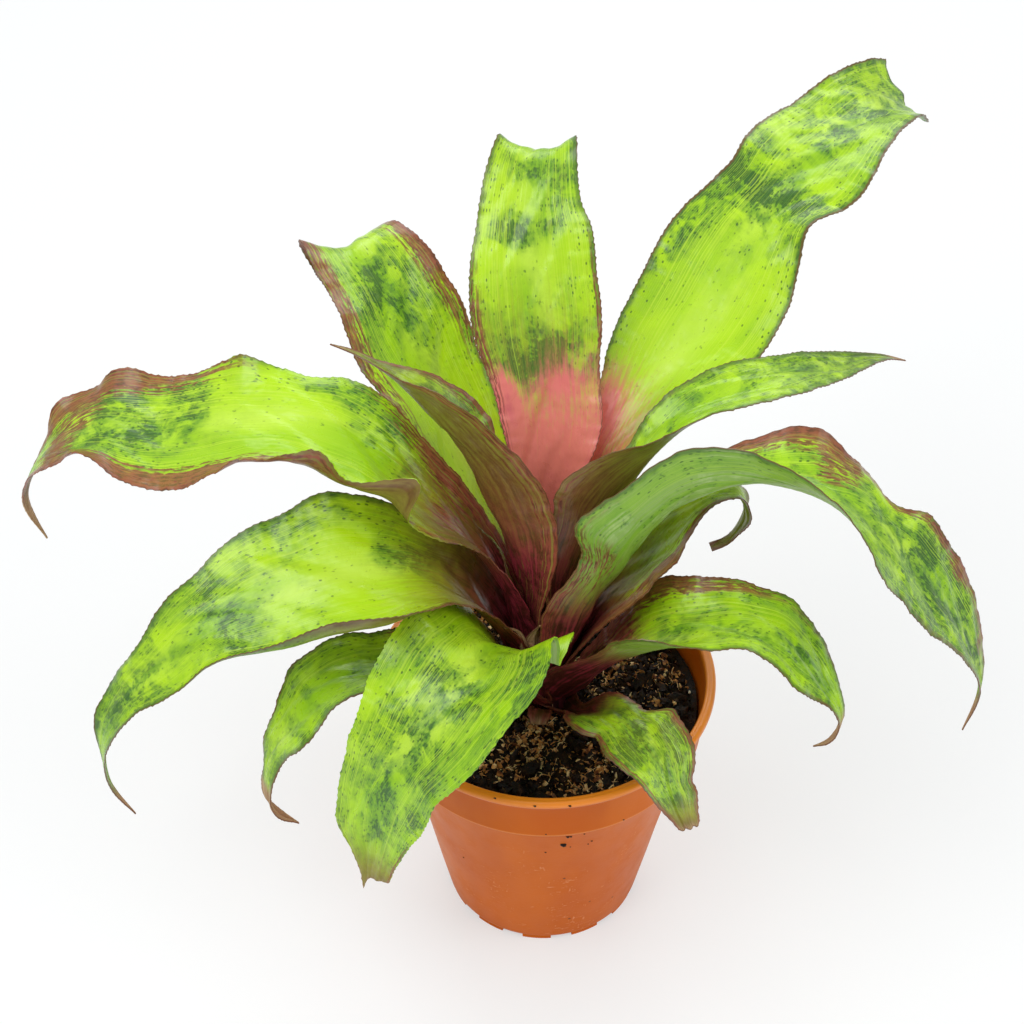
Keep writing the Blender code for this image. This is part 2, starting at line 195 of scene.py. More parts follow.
leafFinish = {
    "lime": linear(178, 224, 12),
    "limeDeep": linear(142, 196, 16),
    "limePale": linear(204, 236, 92),
    "vein": linear(198, 232, 62),
    "dark": linear(46, 92, 34),
    "haze": linear(92, 146, 34),
    "dot": linear(58, 96, 26),
    "edge": linear(66, 104, 40),
    "rim": linear(112, 66, 44),
    "olive": linear(144, 132, 40),
    "oliveDeep": linear(104, 66, 28),
    "bronze": linear(156, 76, 60),
    "bronzeDark": linear(94, 38, 36),
    "bronzeGreen": linear(156, 150, 66),
    "blush": linear(236, 120, 120),
    "blushDeep": linear(212, 84, 112),
    "dry": linear(150, 110, 72),
    "dryPale": linear(198, 168, 128),
    "underGreen": linear(134, 178, 52),
    "underGrey": linear(140, 172, 86),
    "bloom": linear(200, 220, 150),
    "underBrown": linear(138, 96, 50),
    "underBrownDark": linear(104, 58, 32),
    "maroon": linear(150, 46, 66),
    "maroonDark": linear(74, 26, 26),
    "veinHeight": 0.22 * mm,
    "roughness": 0.3,
}


def leafTissue(name, isUnder):
    look = leafFinish
    material, tree, shader = newMaterial(name)

    def tonesOf(layer):
        colour = place(tree, "ShaderNodeAttribute", {}, attribute_name=layer).outputs["Color"]
        return place(tree, "ShaderNodeSeparateColor", {"Color": colour}).outputs

    def pushed(value, grain, amount):  # a tone broken up by a grain that swings about a half
        return plus(tree, value, maths(tree, "MULTIPLY_ADD", grain, amount, -amount / 2))

    def laidOver(colour, light, deep, depth, share):  # a tone between two shades, over what is there
        return blendColours(tree, colour, blendColours(tree, look[light], look[deep], depth), share)

    dark, bronze, blush = (tonesOf("tones")[k] for k in range(3))
    olive, dry, mottle = (tonesOf("marks")[k] for k in range(3))
    rim, brown, maroon = (tonesOf("margins")[k] for k in range(3))

    # grains of the tissue: long ones lie along the veins, and the rest in patches over the face
    lines = cloud(tree, uvPoints(tree, "grain", (0.012, 0.85, 1)), 1.0, 2.0, 0.5)
    threads = cloud(tree, uvPoints(tree, "grain", (0.005, 1.6, 1), (3, 17, 0)), 1.0, 1.0, 0.5)
    dashes = cloud(tree, uvPoints(tree, "grain", (0.25, 1.2, 1), (9, 4, 0)), 1.0, 3.0, 0.6)
    specks = cloud(tree, uvPoints(tree, "face", (0.48, 0.95, 1), (2, 5, 0)), 1.0, 2.0, 0.6)
    blots = cloud(tree, uvPoints(tree, "face", (0.17, 0.26, 1), (5, 2, 0)), 1.0, 3.0, 0.6)
    speckle = plus(tree, times(tree, specks, 0.55), times(tree, blots, 0.45))
    patches = cloud(tree, uvPoints(tree, "face", (0.085, 0.1, 1)), 1.0, 4.0, 0.62, 0.5)
    wash = cloud(tree, uvPoints(tree, "face", (0.02, 0.045, 1), (31, 7, 0)), 1.0, 2.0, 0.5)
    offMidrib = place(tree, "ShaderNodeSeparateXYZ", {"Vector": uvPoints(tree, "grain")}).outputs[1]
    offMidrib = maths(tree, "ABSOLUTE", offMidrib, 0.0)
    streaks = plus(tree, times(tree, lines, 0.6), times(tree, dashes, 0.4))

    # green, paler down the middle, with thin pale veins either side
    if isUnder:
        greyShare = fade(tree, lines, 0.4, 0.62, 0.0, 0.8)
        green = blendColours(tree, look["underGreen"], look["underGrey"], greyShare)
        veinShare = 0.2
    else:
        green = blendColours(tree, look["lime"], look["limeDeep"], fade(tree, wash, 0.4, 0.68, 0.0, 0.8))
        glow = times(tree, fade(tree, offMidrib, 10.0, 0.0), fade(tree, wash, 0.62, 0.35, 0.0, 0.6))
        green = blendColours(tree, green, look["limePale"], glow)
        veinShare = 0.6

    # dark mottling: a soft haze, blotches made of specks, and small dots in rows along the veins
    crowd = times(tree, mottle, 0.5) if isUnder else plus(tree, dark, times(tree, mottle, 0.62))
    crowd = times(tree, crowd, fade(tree, patches, 0.34, 0.62, 0.15, 1.0))
    haze = times(tree, fade(tree, crowd, 0.04, 0.5, 0.0, 0.95), fade(tree, blots, 0.28, 0.6, 0.4, 1.0))
    colour = blendColours(tree, green, look["haze"], haze)
    blotch = fade(tree, plus(tree, speckle, times(tree, crowd, 0.2)), 0.6, 0.72, 0.0, 0.85)
    colour = blendColours(tree, colour, look["dark"], blotch)
    thread = fade(tree, maths(tree, "ABSOLUTE", maths(tree, "SUBTRACT", threads, 0.5), 0.0), 0.06, 0.0)
    thread = times(tree, thread, fade(tree, offMidrib, 1.5, 9.0, 0.12, veinShare))
    colour = blendColours(tree, colour, look["vein"], thread)
    cellPlaces = {"Vector": uvPoints(tree, "grain", (0.42, 0.85, 1)), "Scale": 1.0}
    cells = place(tree, "ShaderNodeTexVoronoi", cellPlaces, voronoi_dimensions="2D").outputs
    chance = plus(tree, maths(tree, "MULTIPLY_ADD", crowd, 0.45, 0.04), times(tree, rim, 0.4))
    chance = plus(tree, chance, fade(tree, offMidrib, 8.0, 22.0, 0.0, 0.12))
    pick = place(tree, "ShaderNodeSeparateColor", {"Color": cells["Color"]}).outputs[0]
    dotShare = times(tree, fade(tree, maths(tree, "SUBTRACT", chance, pick), 0.0, 0.12),
                    fade(tree, cells["Distance"], 0.3, 0.14, 0.0, 0.8))
    colour = blendColours(tree, colour, look["dot"], dotShare)

    # margins: a soft dark green band that thins to a brown rim
    rimShare = fade(tree, pushed(pushed(rim, lines, 0.5), blots, 0.9), 0.25, 0.95, 0.0, 0.8)
    colour = blendColours(tree, colour, look["edge"], rimShare)

    # the other tones: olive, then brown under the leaf, rose, maroon, bronze with green threads, and dry ends
    colour = laidOver(colour, "olive", "oliveDeep", fade(tree, pushed(olive, patches, 0.8), 0.6, 1.1),
                      fade(tree, pushed(olive, streaks, 0.8), 0.15, 0.85, 0.0, 0.92))
    if isUnder:
        bloom = times(tree, fade(tree, lines, 0.42, 0.6), fade(tree, patches, 0.45, 0.68, 0.0, 0.5))
        colour = blendColours(tree, colour, look["bloom"], bloom)
        colour = laidOver(colour, "underBrown", "underBrownDark", fade(tree, streaks, 0.38, 0.64),
                          fade(tree, pushed(brown, streaks, 0.7), 0.15, 0.85, 0.0, 0.9))
    colour = laidOver(colour, "blush", "blushDeep", fade(tree, pushed(blush, blots, 0.6), 0.9, 1.5),
                      fade(tree, pushed(pushed(blush, streaks, 0.7), speckle, 0.5), 0.2, 0.85, 0.0, 0.95))
    deep = plus(tree, times(tree, maroon, 0.22), pushed(lines, blots, 0.9))
    colour = laidOver(colour, "maroon", "maroonDark", fade(tree, deep, 0.52, 0.84),
                      fade(tree, pushed(maroon, streaks, 0.6), 0.15, 0.9, 0.0, 0.94))
    torn = fade(tree, plus(tree, times(tree, lines, 0.5), times(tree, dashes, 0.5)), 0.42, 0.58)
    bronzeShare = fade(tree, pushed(pushed(bronze, torn, 0.8), patches, 1.1), 0.3, 0.75, 0.0, 0.88)
    bronzeShare = times(tree, bronzeShare, fade(tree, bronze, 0.12, 0.5))
    darkDashes = fade(tree, dashes, 0.42, 0.66, 0.0, 0.9)
    bronzeColour = blendColours(tree, look["bronze"], look["bronzeDark"], darkDashes)
    greenThreads = fade(tree, threads, 0.52, 0.66, 0.0, 0.6)
    bronzeColour = blendColours(tree, bronzeColour, look["bronzeGreen"], greenThreads)
    colour = blendColours(tree, colour, bronzeColour, bronzeShare)
    colour = laidOver(colour, "dry", "dryPale", fade(tree, lines, 0.4, 0.6),
                      fade(tree, pushed(dry, streaks, 0.5), 0.3, 0.7))
    colour = blendColours(tree, colour, look["rim"], fade(tree, rim, 0.88, 0.98, 0.0, 0.75))
    tree.links.new(colour, shader.inputs["Base Color"])

    rough = fade(tree, dry, 0.3, 0.9, look["roughness"] + (0.06 if isUnder else 0.0), 0.8)
    tree.links.new(pushed(rough, patches, 0.2), shader.inputs["Roughness"])
    tree.links.new(fade(tree, maroon, 0.3, 1.2, 0.5, 0.2), shader.inputs["Specular IOR Level"])
    relief = plus(tree, times(tree, lines, 0.8), times(tree, dashes, 0.2))
    ripples = bumpFrom(tree, cloud(tree, uvPoints(tree, "face", (0.11, 0.16, 1)), 1.0, 2.0), 1.2 * mm, 0.5)
    tree.links.new(bumpFrom(tree, relief, look["veinHeight"], 0.6, ripples), shader.inputs["Normal"])
    return material


leafTop = leafTissue("leafTop", False)
leafUnder = leafTissue("leafUnder", True)

bladeMake = {
    "rowStep": 0.8 * mm,
    "columns": 28,
    "thickness": 1.0 * mm,
    "marginShare": 0.35,  # the margins' and the tail's share of that thickness
    "narrowest": 0.3 * mm,
    "foldReach": 0.5,  # share of each half over which the fold opens out
    "rufflePower": 2.2,  # how closely the ruffles keep to the margins
    "toothDepth": 0.42 * mm,
    "crinkle": 0.3 * mm,
    "swell": 0.6 * mm,
    "rimBreadth": 3.6 * mm,
    "tipReach": 26 * mm,  # how far back a cut tip draws on the blade
    "plumpReach": 6 * mm,  # how far in from the margins the blade reaches its full thickness
    "toothWave": 7 * mm,
    "crinkleWave": 13 * mm,
    "swellWave": 41 * mm,
    "curlShare": 0.3,  # share of each half that can roll over
    "foldSteps": 60,
    "grainBreadth": 22,  # breadth of the veins' layout from the midrib to a margin, so that they follow it
    "grainShift": 211,  # how far apart two leaves lie in the grain, so that none looks alike
}


def along(values, shares):  # a smooth curve through evenly spaced values, read at shares from 0 to 1
    values = np.asarray(values, float)
    spot = np.clip(shares, 0, 1) * (len(values) - 1)
    i = np.minimum(spot.astype(int), len(values) - 2)
    f = spot - i
    if values.ndim > 1:
        f = f[:, None]
    a, b = values[i], values[i + 1]
    before, after = values[np.maximum(i - 1, 0)], values[np.minimum(i + 2, len(values) - 1)]
    cubic = 2 * before - 5 * a + 4 * b - after + f * (3 * (a - b) + after - before)
    return a + 0.5 * f * (b - before + f * cubic)


def waves(places, length, seed):  # an uneven wave that stays within about 1.4 of nothing
    turns = places * math.tau / length
    return (np.sin(turns + seed) + 0.7 * np.sin(turns * 1.618 + 2.1 * seed)
            + 0.5 * np.sin(turns * 2.93 + 3.7 * seed)) / 1.6


def unit(vectors):
    return vectors / np.linalg.norm(vectors, axis=-1, keepdims=True)


def midribOf(leaf, make):  # even places along the midrib, its points, and the ways out and up from it
    turn = math.radians(leaf["heading"])
    out = np.array([math.cos(turn), math.sin(turn), 0.0])
    left = np.array([-math.sin(turn), math.cos(turn), 0.0])
    route = along(leaf["route"], np.linspace(0, 1, 500)) * mm
    line = route[:, :1] * out + route[:, 2:] * left
    line[:, 2] += route[:, 1]
    lengths = np.concatenate([[0], np.cumsum(np.linalg.norm(np.diff(line, axis=0), axis=1))])
    rows = int(lengths[-1] / make["rowStep"])
    even = np.linspace(0, lengths[-1], rows + 1)
    spine = np.stack([np.interp(even, lengths, line[:, k]) for k in range(3)], axis=1)
    forward = unit(np.gradient(spine, axis=0))
    side = unit(left - (forward @ left)[:, None] * forward)
    top = np.cross(forward, side)
    roll = np.radians(along(leaf.get("rolls", [0, 0]), np.linspace(0, 1, rows + 1)))[:, None]
    return even, spine, side * np.cos(roll) + top * np.sin(roll), top * np.cos(roll) - side * np.sin(roll)


def halfBlade(leaf, make, sign, even, shares, reach):  # how far out and up each column of one half lies
    margin = "left" if sign > 0 else "right"
    seed, rolled, steps = leaf["seed"], make["curlShare"], make["foldSteps"]
    half = np.maximum(along(leaf[margin + "Widths"], shares) * mm, make["narrowest"])
    fold = np.radians(along(leaf["folds"], shares))
    fine = np.linspace(0, 1, steps + 1)
    angle = fold[:, None] * np.minimum(1, (fine[None, 1:] - 0.5 / steps) / make["foldReach"])
    midrib = np.zeros((len(shares), 1))
    reachOut = np.concatenate([midrib, np.cumsum(np.cos(angle) / steps, axis=1)], axis=1)
    reachUp = np.concatenate([midrib, np.cumsum(np.sin(angle) / steps, axis=1)], axis=1)
    bite = np.array([0.0, 0.35, 1.0])[np.arange(len(shares)) % 3] - 0.4
    teeth = bite * make["toothDepth"] * (0.75 + 0.5 * waves(even, make["toothWave"], seed + sign))
    teeth = teeth * np.minimum(1, half / (4 * mm))
    ruffle = along(leaf.get(margin, [0, 0]), shares) * mm
    for at, spread, height in leaf.get(margin + "Waves", []):
        ruffle = ruffle + height * mm * np.exp(-((shares - at) / spread) ** 2)
    curl = np.radians(along(leaf.get(margin + "Curl", [0, 0]), shares))
    flutter = make["crinkle"] * waves(even, make["crinkleWave"], seed + sign)
    flutter = flutter * np.minimum(1, half / (12 * mm))
    swell = make["swell"] * np.minimum(1, half / (8 * mm))
    columns = []
    for k, spot in enumerate(reach):
        if spot * sign < 0 or (spot == 0 and sign < 0):
            continue
        t = abs(spot)
        outward = half * np.array([np.interp(t, fine, row) for row in reachOut])
        lift = half * np.array([np.interp(t, fine, row) for row in reachUp])
        bent = max(0.0, t - (1 - rolled)) / rolled  # a margin that rolls over on itself
        outward = outward - half * rolled * bent * (1 - np.cos(curl * bent))
        lift = lift + half * rolled * bent * np.sin(curl * bent)
        if t == 1:
            outward = outward + teeth
        lift = lift + ruffle * t ** leaf.get("rufflePower", make["rufflePower"]) + flutter * t ** 3
        lift = lift + swell * waves(even, make["swellWave"], seed + 5 * spot) * (1 - t * t)
        columns.append((k, outward, lift, t * half))
    return columns


def bladeShape(leaf, make):  # where each row and column of the blade lies
    even, spine, lean, leanTop = midribOf(leaf, make)
    shares = np.linspace(0, 1, len(even))
    reach = np.linspace(-1, 1, make["columns"] + 1)
    shape = np.zeros((len(even), len(reach), 3))
    across = np.zeros((len(even), len(reach)))
    for sign in (-1, 1):
        for k, outward, lift, breadth in halfBlade(leaf, make, sign, even, shares, reach):
            shape[:, k] = spine + lean * (sign * outward)[:, None] + leanTop * lift[:, None]
            across[:, k] = sign * breadth
    # a worn tip: each column stops its own distance short
    cuts = along(leaf.get("tipCut", [0, 0]), (reach + 1) / 2) * mm
    nearTip = np.clip(1 - (even[-1] - even) / make["tipReach"], 0, 1)
    for k, cut in enumerate(cuts):
        short = even - cut * nearTip * nearTip
        shape[:, k] = np.stack([np.interp(short, even, shape[:, k, axis]) for axis in range(3)], axis=1)
    return shape, across, even, shares, reach


def halfBreadths(across, reach):  # from the midrib to the margin on each column's own side
    return np.where(reach[None, :] < 0, np.abs(across[:, :1]), np.abs(across[:, -1:]))


def paintTones(leaf, across, even, shares, reach):  # how much of each tone lies where, three to a layer
    s, r = np.meshgrid(shares, reach, indexing="ij")
    flat = s.ravel()

    def spread(key, otherwise=(0, 0)):
        return along(leaf.get(key, otherwise), flat).reshape(s.shape)

    def spots(key):
        total = np.zeros(s.shape)
        for at, side, halfAlong, halfAcross, strength in leaf.get(key, []):
            total += strength * np.exp(-(((s - at) / halfAlong) ** 2 + ((r - side) / halfAcross) ** 2))
        return total

    def edge(key, sign, start):
        t = np.clip((sign * r - start) / (1 - start), 0, 1)
        return spread(key) * t * t * (3 - 2 * t)

    inside = halfBreadths(across, reach) - np.abs(across)
    if leaf.get("blunt"):
        inside = np.minimum(inside, (even[-1] - even)[:, None])
    rim = np.clip(1 - inside / bladeMake["rimBreadth"], 0, 1) * spread("rim", (1, 1))
    start = leaf.get("bronzeStart", 0.5)
    bronze = (edge("bronzeLeft", 1, start) + edge("bronzeRight", -1, start)
              + spots("bronzeSpots") + spread("bronze"))
    layers = {"tones": (spots("darkSpots"), bronze, spread("blush") + spots("blushSpots")),
              "marks": (spread("olive"), spread("dry"), spread("mottle")),
              "margins": (rim, spread("brown"), spread("maroon"))}
    one = np.ones(s.shape)
    return {name: np.clip(np.stack([*three, one], -1), 0, 2) for name, three in layers.items()}


def layGrain(mesh, i, k, even, across, reach, make, seed):  # two layouts, which run along and over the blade
    corners = np.empty(len(mesh.loops), int)
    mesh.loops.foreach_get("vertex_index", corners)
    i, k = i[corners], k[corners]
    evenly = np.broadcast_to(reach * make["grainBreadth"], across.shape)
    for layerName, sideways in (("grain", evenly), ("face", across / mm)):
        layer = mesh.uv_layers.get(layerName) or mesh.uv_layers.new(name=layerName)
        places = np.stack([even[i] / mm + make["grainShift"] * seed, sideways[i, k]], -1)
        layer.data.foreach_set("uv", places.ravel())
    for spare in [layer for layer in mesh.uv_layers if layer.name not in ("grain", "face")]:
        mesh.uv_layers.remove(spare)


def giveFlesh(blade, plump, make):  # thick where plump is 1, thin where it is 0
    steps = np.rint(plump * 8).astype(int)
    group = blade.vertex_groups.new(name="flesh")
    for step in range(9):
        group.add(np.nonzero(steps == step)[0].tolist(), step / 8, "REPLACE")
    flesh = blade.modifiers.new("flesh", "SOLIDIFY")
    flesh.thickness = make["thickness"]
    flesh.offset = 0
    flesh.material_offset = 1
    flesh.vertex_group = "flesh"
    flesh.thickness_vertex_group = make["marginShare"]
    applyModifiers(blade)


def makeLeaf(leaf):
    make = bladeMake
    shape, across, even, shares, reach = bladeShape(leaf, make)
    rows, columns = len(shares) - 1, len(reach) - 1
    clearSelection()
    bpy.ops.mesh.primitive_grid_add(x_subdivisions=rows, y_subdivisions=columns, size=2)
    blade = bpy.context.object
    blade.name = leaf["piece"]
    mesh = blade.data
    mesh.name = leaf["piece"]
    flat = np.empty(len(mesh.vertices) * 3)
    mesh.vertices.foreach_get("co", flat)
    flat = flat.reshape(-1, 3)
    i = np.rint((flat[:, 0] + 1) / 2 * rows).astype(int)
    k = np.rint((flat[:, 1] + 1) / 2 * columns).astype(int)
    mesh.vertices.foreach_set("co", shape[i, k].ravel())
    for layerName, values in paintTones(leaf, across, even, shares, reach).items():
        layer = mesh.attributes.new(layerName, "FLOAT_COLOR", "POINT")
        layer.data.foreach_set("color", values[i, k].ravel())
    layGrain(mesh, i, k, even, across, reach, make, leaf["seed"])
    mesh.materials.append(leafTop)
    mesh.materials.append(leafUnder)
    inside = halfBreadths(across, reach) - np.abs(across)
    giveFlesh(blade, (np.clip(inside / make["plumpReach"], 0, 1) ** 0.7)[i, k], make)
    settle(blade, "root", leaf.get("slot", "leaf_lime"), *leaf.get("nodes", []))


# heading: which way the leaf grows, degrees anticlockwise from +X. route: its midrib as reach, height and
# drift to its left. Widths: each half's breadth at even steps. rolls and folds: degrees by which it leans and
# troughs. left and right: how far each margin ruffles up, with Waves as (place along, spread, lift), and Curl
# the degrees by which it rolls over. tipCut: how short the end is torn, from the right margin to the left.
# blunt: the end has a rim too. Lengths are in millimetres. The rest says how much of each tone lies where:
# lists run from base to tip, and Spots are (place along, place across, half length, half breadth, strength),
# with -1 the right margin and 1 the left.

leafLeftLong = {
    "piece": "leafLeftLong",
    "nodes": ["leaf_left_long"],
    "seed": 1,
    "heading": 170,
    "route": [(8.4, 108, -0.3), (11.8, 134, 0), (18, 155, 0), (29, 173, 0), (43, 188, 0), (61, 204, 0),
              (84, 213, 0), (108, 210, 0), (132, 202, 0), (154, 200, 0), (171, 190, 0), (181, 178, 0),
              (186, 162, 0), (181, 145, 0)],
    "leftWidths": [14, 14, 13, 12, 12, 13, 17.5, 24, 23, 25, 22, 23.5, 20.5, 22, 24, 25, 24, 21, 15, 11, 10,
                   6.5, 3.5, 1.8, 0.4],
    "rightWidths": [14, 14, 13, 12, 12, 12.5, 13.5, 15, 16, 18, 22, 24, 21, 23, 25, 26, 25, 23, 23, 20, 13,
                    7.5, 3.5, 1.8, 0.4],
    "rolls": [12, 20, 12, -6, -12, -12, -12, -12, 0, 0],
    "folds": [65, 45, 35, 25, 10, 5, 5, 5, 10, 20],
    "rufflePower": 4,
    "leftWaves": [(0.374, 0.02, 13), (0.42, 0.02, -3), (0.464, 0.02, 7), (0.51, 0.02, -2), (0.55, 0.02, 3),
                  (0.63, 0.04, -3), (0.76, 0.03, 6)],
    "rightWaves": [(0.48, 0.05, -3), (0.575, 0.025, 5), (0.65, 0.03, -2), (0.73, 0.022, 4),
                   (0.775, 0.015, -2), (0.82, 0.02, 5)],
    "leftCurl": [0] * 9 + [70, 60, 70, 60, 30, 20, 10] + [0] * 9,
    "olive": [0.8, 1, 1.1, 1.1, 0.95, 0.6, 0.2] + [0] * 6 + [0.15, 0.3, 0.6],
    "dry": [0] * 16 + [0.6, 1],
    "mottle": [0] * 5 + [0.1, 0.35, 0.75, 0.8, 0.6, 0.5],
    "darkSpots": [(0.64, -0.3, 0.02, 0.3, 0.9), (0.7, 0.1, 0.025, 0.3, 0.9), (0.72, -0.5, 0.02, 0.25, 0.8),
                  (0.755, -0.1, 0.015, 0.5, 1.1), (0.67, -0.75, 0.03, 0.2, 0.8),
                  (0.36, -0.45, 0.07, 0.4, 0.9), (0.31, 0.1, 0.04, 0.4, 0.7),
                  (0.45, -0.8, 0.06, 0.25, 0.6)],
    "bronzeLeft": [0.3, 0.3, 0.3, 0.4, 0.3, 0.8, 1.4, 1.5, 1.4, 1, 0.8],
    "bronzeRight": [1, 1, 1, 0.9, 0.5, 0.1, 0.5, 1.3, 1.4, 1, 0.8],
    "bronzeStart": 0.45,
    "bronzeSpots": [(0.3, -0.75, 0.06, 0.25, 0.8), (0.82, 0.2, 0.03, 0.7, 0.9), (0.27, 0.1, 0.05, 0.6, 0.6),
                    (0.78, -0.4, 0.03, 0.3, 0.7)],
    "brown": [1, 0.95, 0.8, 0.75, 0.7, 0.7, 0.8, 0.8],
    "maroon": [1.3, 1.2, 1.1, 0.9, 0.55, 0.2, 0.1] + [0] * 13,
    "rim": [0.6, 0.6, 0.6, 0.6, 0.7, 0.8, 0.9, 0.8],
}
makeLeaf(leafLeftLong)

leafLeftLow = {
    "piece": "leafLeftLow",
    "nodes": ["leaf_left_low"],
    "seed": 2,
    "heading": 195,
    "route": [(9.1, 103, 0.2), (14, 125, -1), (23, 145, -1), (35, 163, 0), (50, 173, 0), (68, 177, 0),
              (86, 175, 0), (102, 171, 0), (118, 163, 0), (133, 151, 0), (147, 137, 0), (157, 119, 0),
              (158, 97, 0), (151, 77, 0)],
    "leftWidths": [15, 15, 15, 14, 14, 15, 18, 22, 28, 33, 31, 28, 26, 22, 17, 14, 14, 12, 8, 6.5, 5.5, 4,
                   2.5, 1.5, 0.4],
    "rightWidths": [15, 15, 16, 17, 18, 19, 20, 19, 22.5, 25.5, 28.5, 25.5, 24.5, 21.5, 17, 15, 12.5, 10.5,
                    10.5, 8, 5.5, 4, 2.5, 1.5, 0.4],
    "rolls": [0, 0, -5, -12, -20, -30, -30, -20, 0, 0],
    "folds": [50, 45, 35, 20, 10, 5, 5, 5, 10, 20],
    "rufflePower": 4,
    "right": [0] * 6 + [2, 0, -1, 0, 3, 0, -2, 2, 0, 0, 0],
    "leftWaves": [(0.3, 0.035, 2), (0.36, 0.04, 3)],
    "leftCurl": [0] * 5 + [10, 45, 70, 70, 60, 50, 40, 25, 10, 0, 0, 0],
    "olive": [1, 1.1, 1, 0.7, 0.25, 0, 0, 0, 0, 0.1, 0.3, 0.6],
    "dry": [0] * 15 + [0.5, 1],
    "mottle": [0.2, 0.3, 0.2, 0, 0.1, 0.5, 0.4, 0.8, 0.9, 0.5, 0.3],
    "darkSpots": [(0.575, 0.3, 0.022, 0.6, 1.3), (0.585, -0.6, 0.02, 0.35, 0.9), (0.73, 0.5, 0.02, 0.3, 1),
                  (0.765, 0.1, 0.02, 0.4, 1.1), (0.72, -0.2, 0.02, 0.2, 0.8), (0.43, -0.8, 0.08, 0.2, 0.5),
                  (0.27, -0.5, 0.05, 0.5, 1.2), (0.33, -0.2, 0.04, 0.3, 0.6)],
    "bronzeLeft": [0.8, 0.9, 0.9, 0.6, 0.1, 0.1, 0.1, 0.2, 0.3, 0.4, 0.6],
    "bronzeRight": [0.8, 0.8, 0.5, 0.1, 0, 0, 0.1, 0.1, 0.2, 0.3, 0.6],
    "bronzeStart": 0.7,
    "brown": [1, 0.9, 0.8, 0.6, 0.2, 0.1, 0.1, 0.3],
    "maroon": [1.3, 1.1, 0.7, 0.4, 0.15] + [0] * 9,
}
makeLeaf(leafLeftLow)

leafBackLeft = {
    "piece": "leafBackLeft",
    "nodes": ["leaf_back_left"],
    "seed": 3,
    "heading": 123,
    "route": [(6.7, 115, 0), (14, 137, 0), (25, 154, 0), (40, 170, 2), (57, 185, 2), (73, 198, 3),
              (90, 211, 3), (107, 220, 3), (121, 223, 3), (131, 214, 3), (136, 196, 3)],
    "leftWidths": [12, 12, 12, 12, 12, 11, 15, 20, 22, 23.5, 24, 24, 23.5, 23.5, 24.5, 26, 25, 22.5, 21,
                   20.5, 19, 16, 12, 8.5, 4.5],
    "rightWidths": [12, 13, 13, 13, 12, 11, 11, 12, 14.5, 17, 18.5, 20, 21, 21.5, 22.5, 23.5, 23.5, 22.5,
                    22.5, 21.5, 20.5, 20, 17, 10, 4],
    "rolls": [8, 18, 12, 0, 0],
    "folds": [65, 30, 30, 20, 15, 15, 15, 20],
    "left": [0, 0, 2, 2, 0, 0, 2, -2, 3, 0, 0, 0, 0],
    "right": [0] * 10 + [-2, 0, 0],
    "leftWaves": [(0.86, 0.03, 5), (0.93, 0.03, -2)],
    "olive": [0.6, 0.4, 0.2] + [0] * 5 + [0.2],
    "mottle": [0, 0, 0.1, 0.1, 0.2, 0.6, 0.8, 0.7, 0.3],
    "darkSpots": [(0.7, 0.3, 0.03, 0.3, 1.1), (0.68, -0.1, 0.025, 0.25, 0.9), (0.74, -0.2, 0.03, 0.3, 0.9),
                  (0.76, 0.1, 0.02, 0.2, 0.8)],
    "bronzeLeft": [0.3, 0.3, 0.4, 0.6, 0.7, 0.9, 1, 0.9, 0.8],
    "bronzeRight": [0.3, 0.2, 0.2, 0.2, 0.3, 0.6, 1, 0.9, 0.8],
    "bronzeStart": 0.45,
    "brown": [0.8, 0.5, 0.2, 0.1, 0.3, 0.5],
    "maroon": [1.3, 1.2, 0.6, 0.2] + [0] * 8,
}
makeLeaf(leafBackLeft)

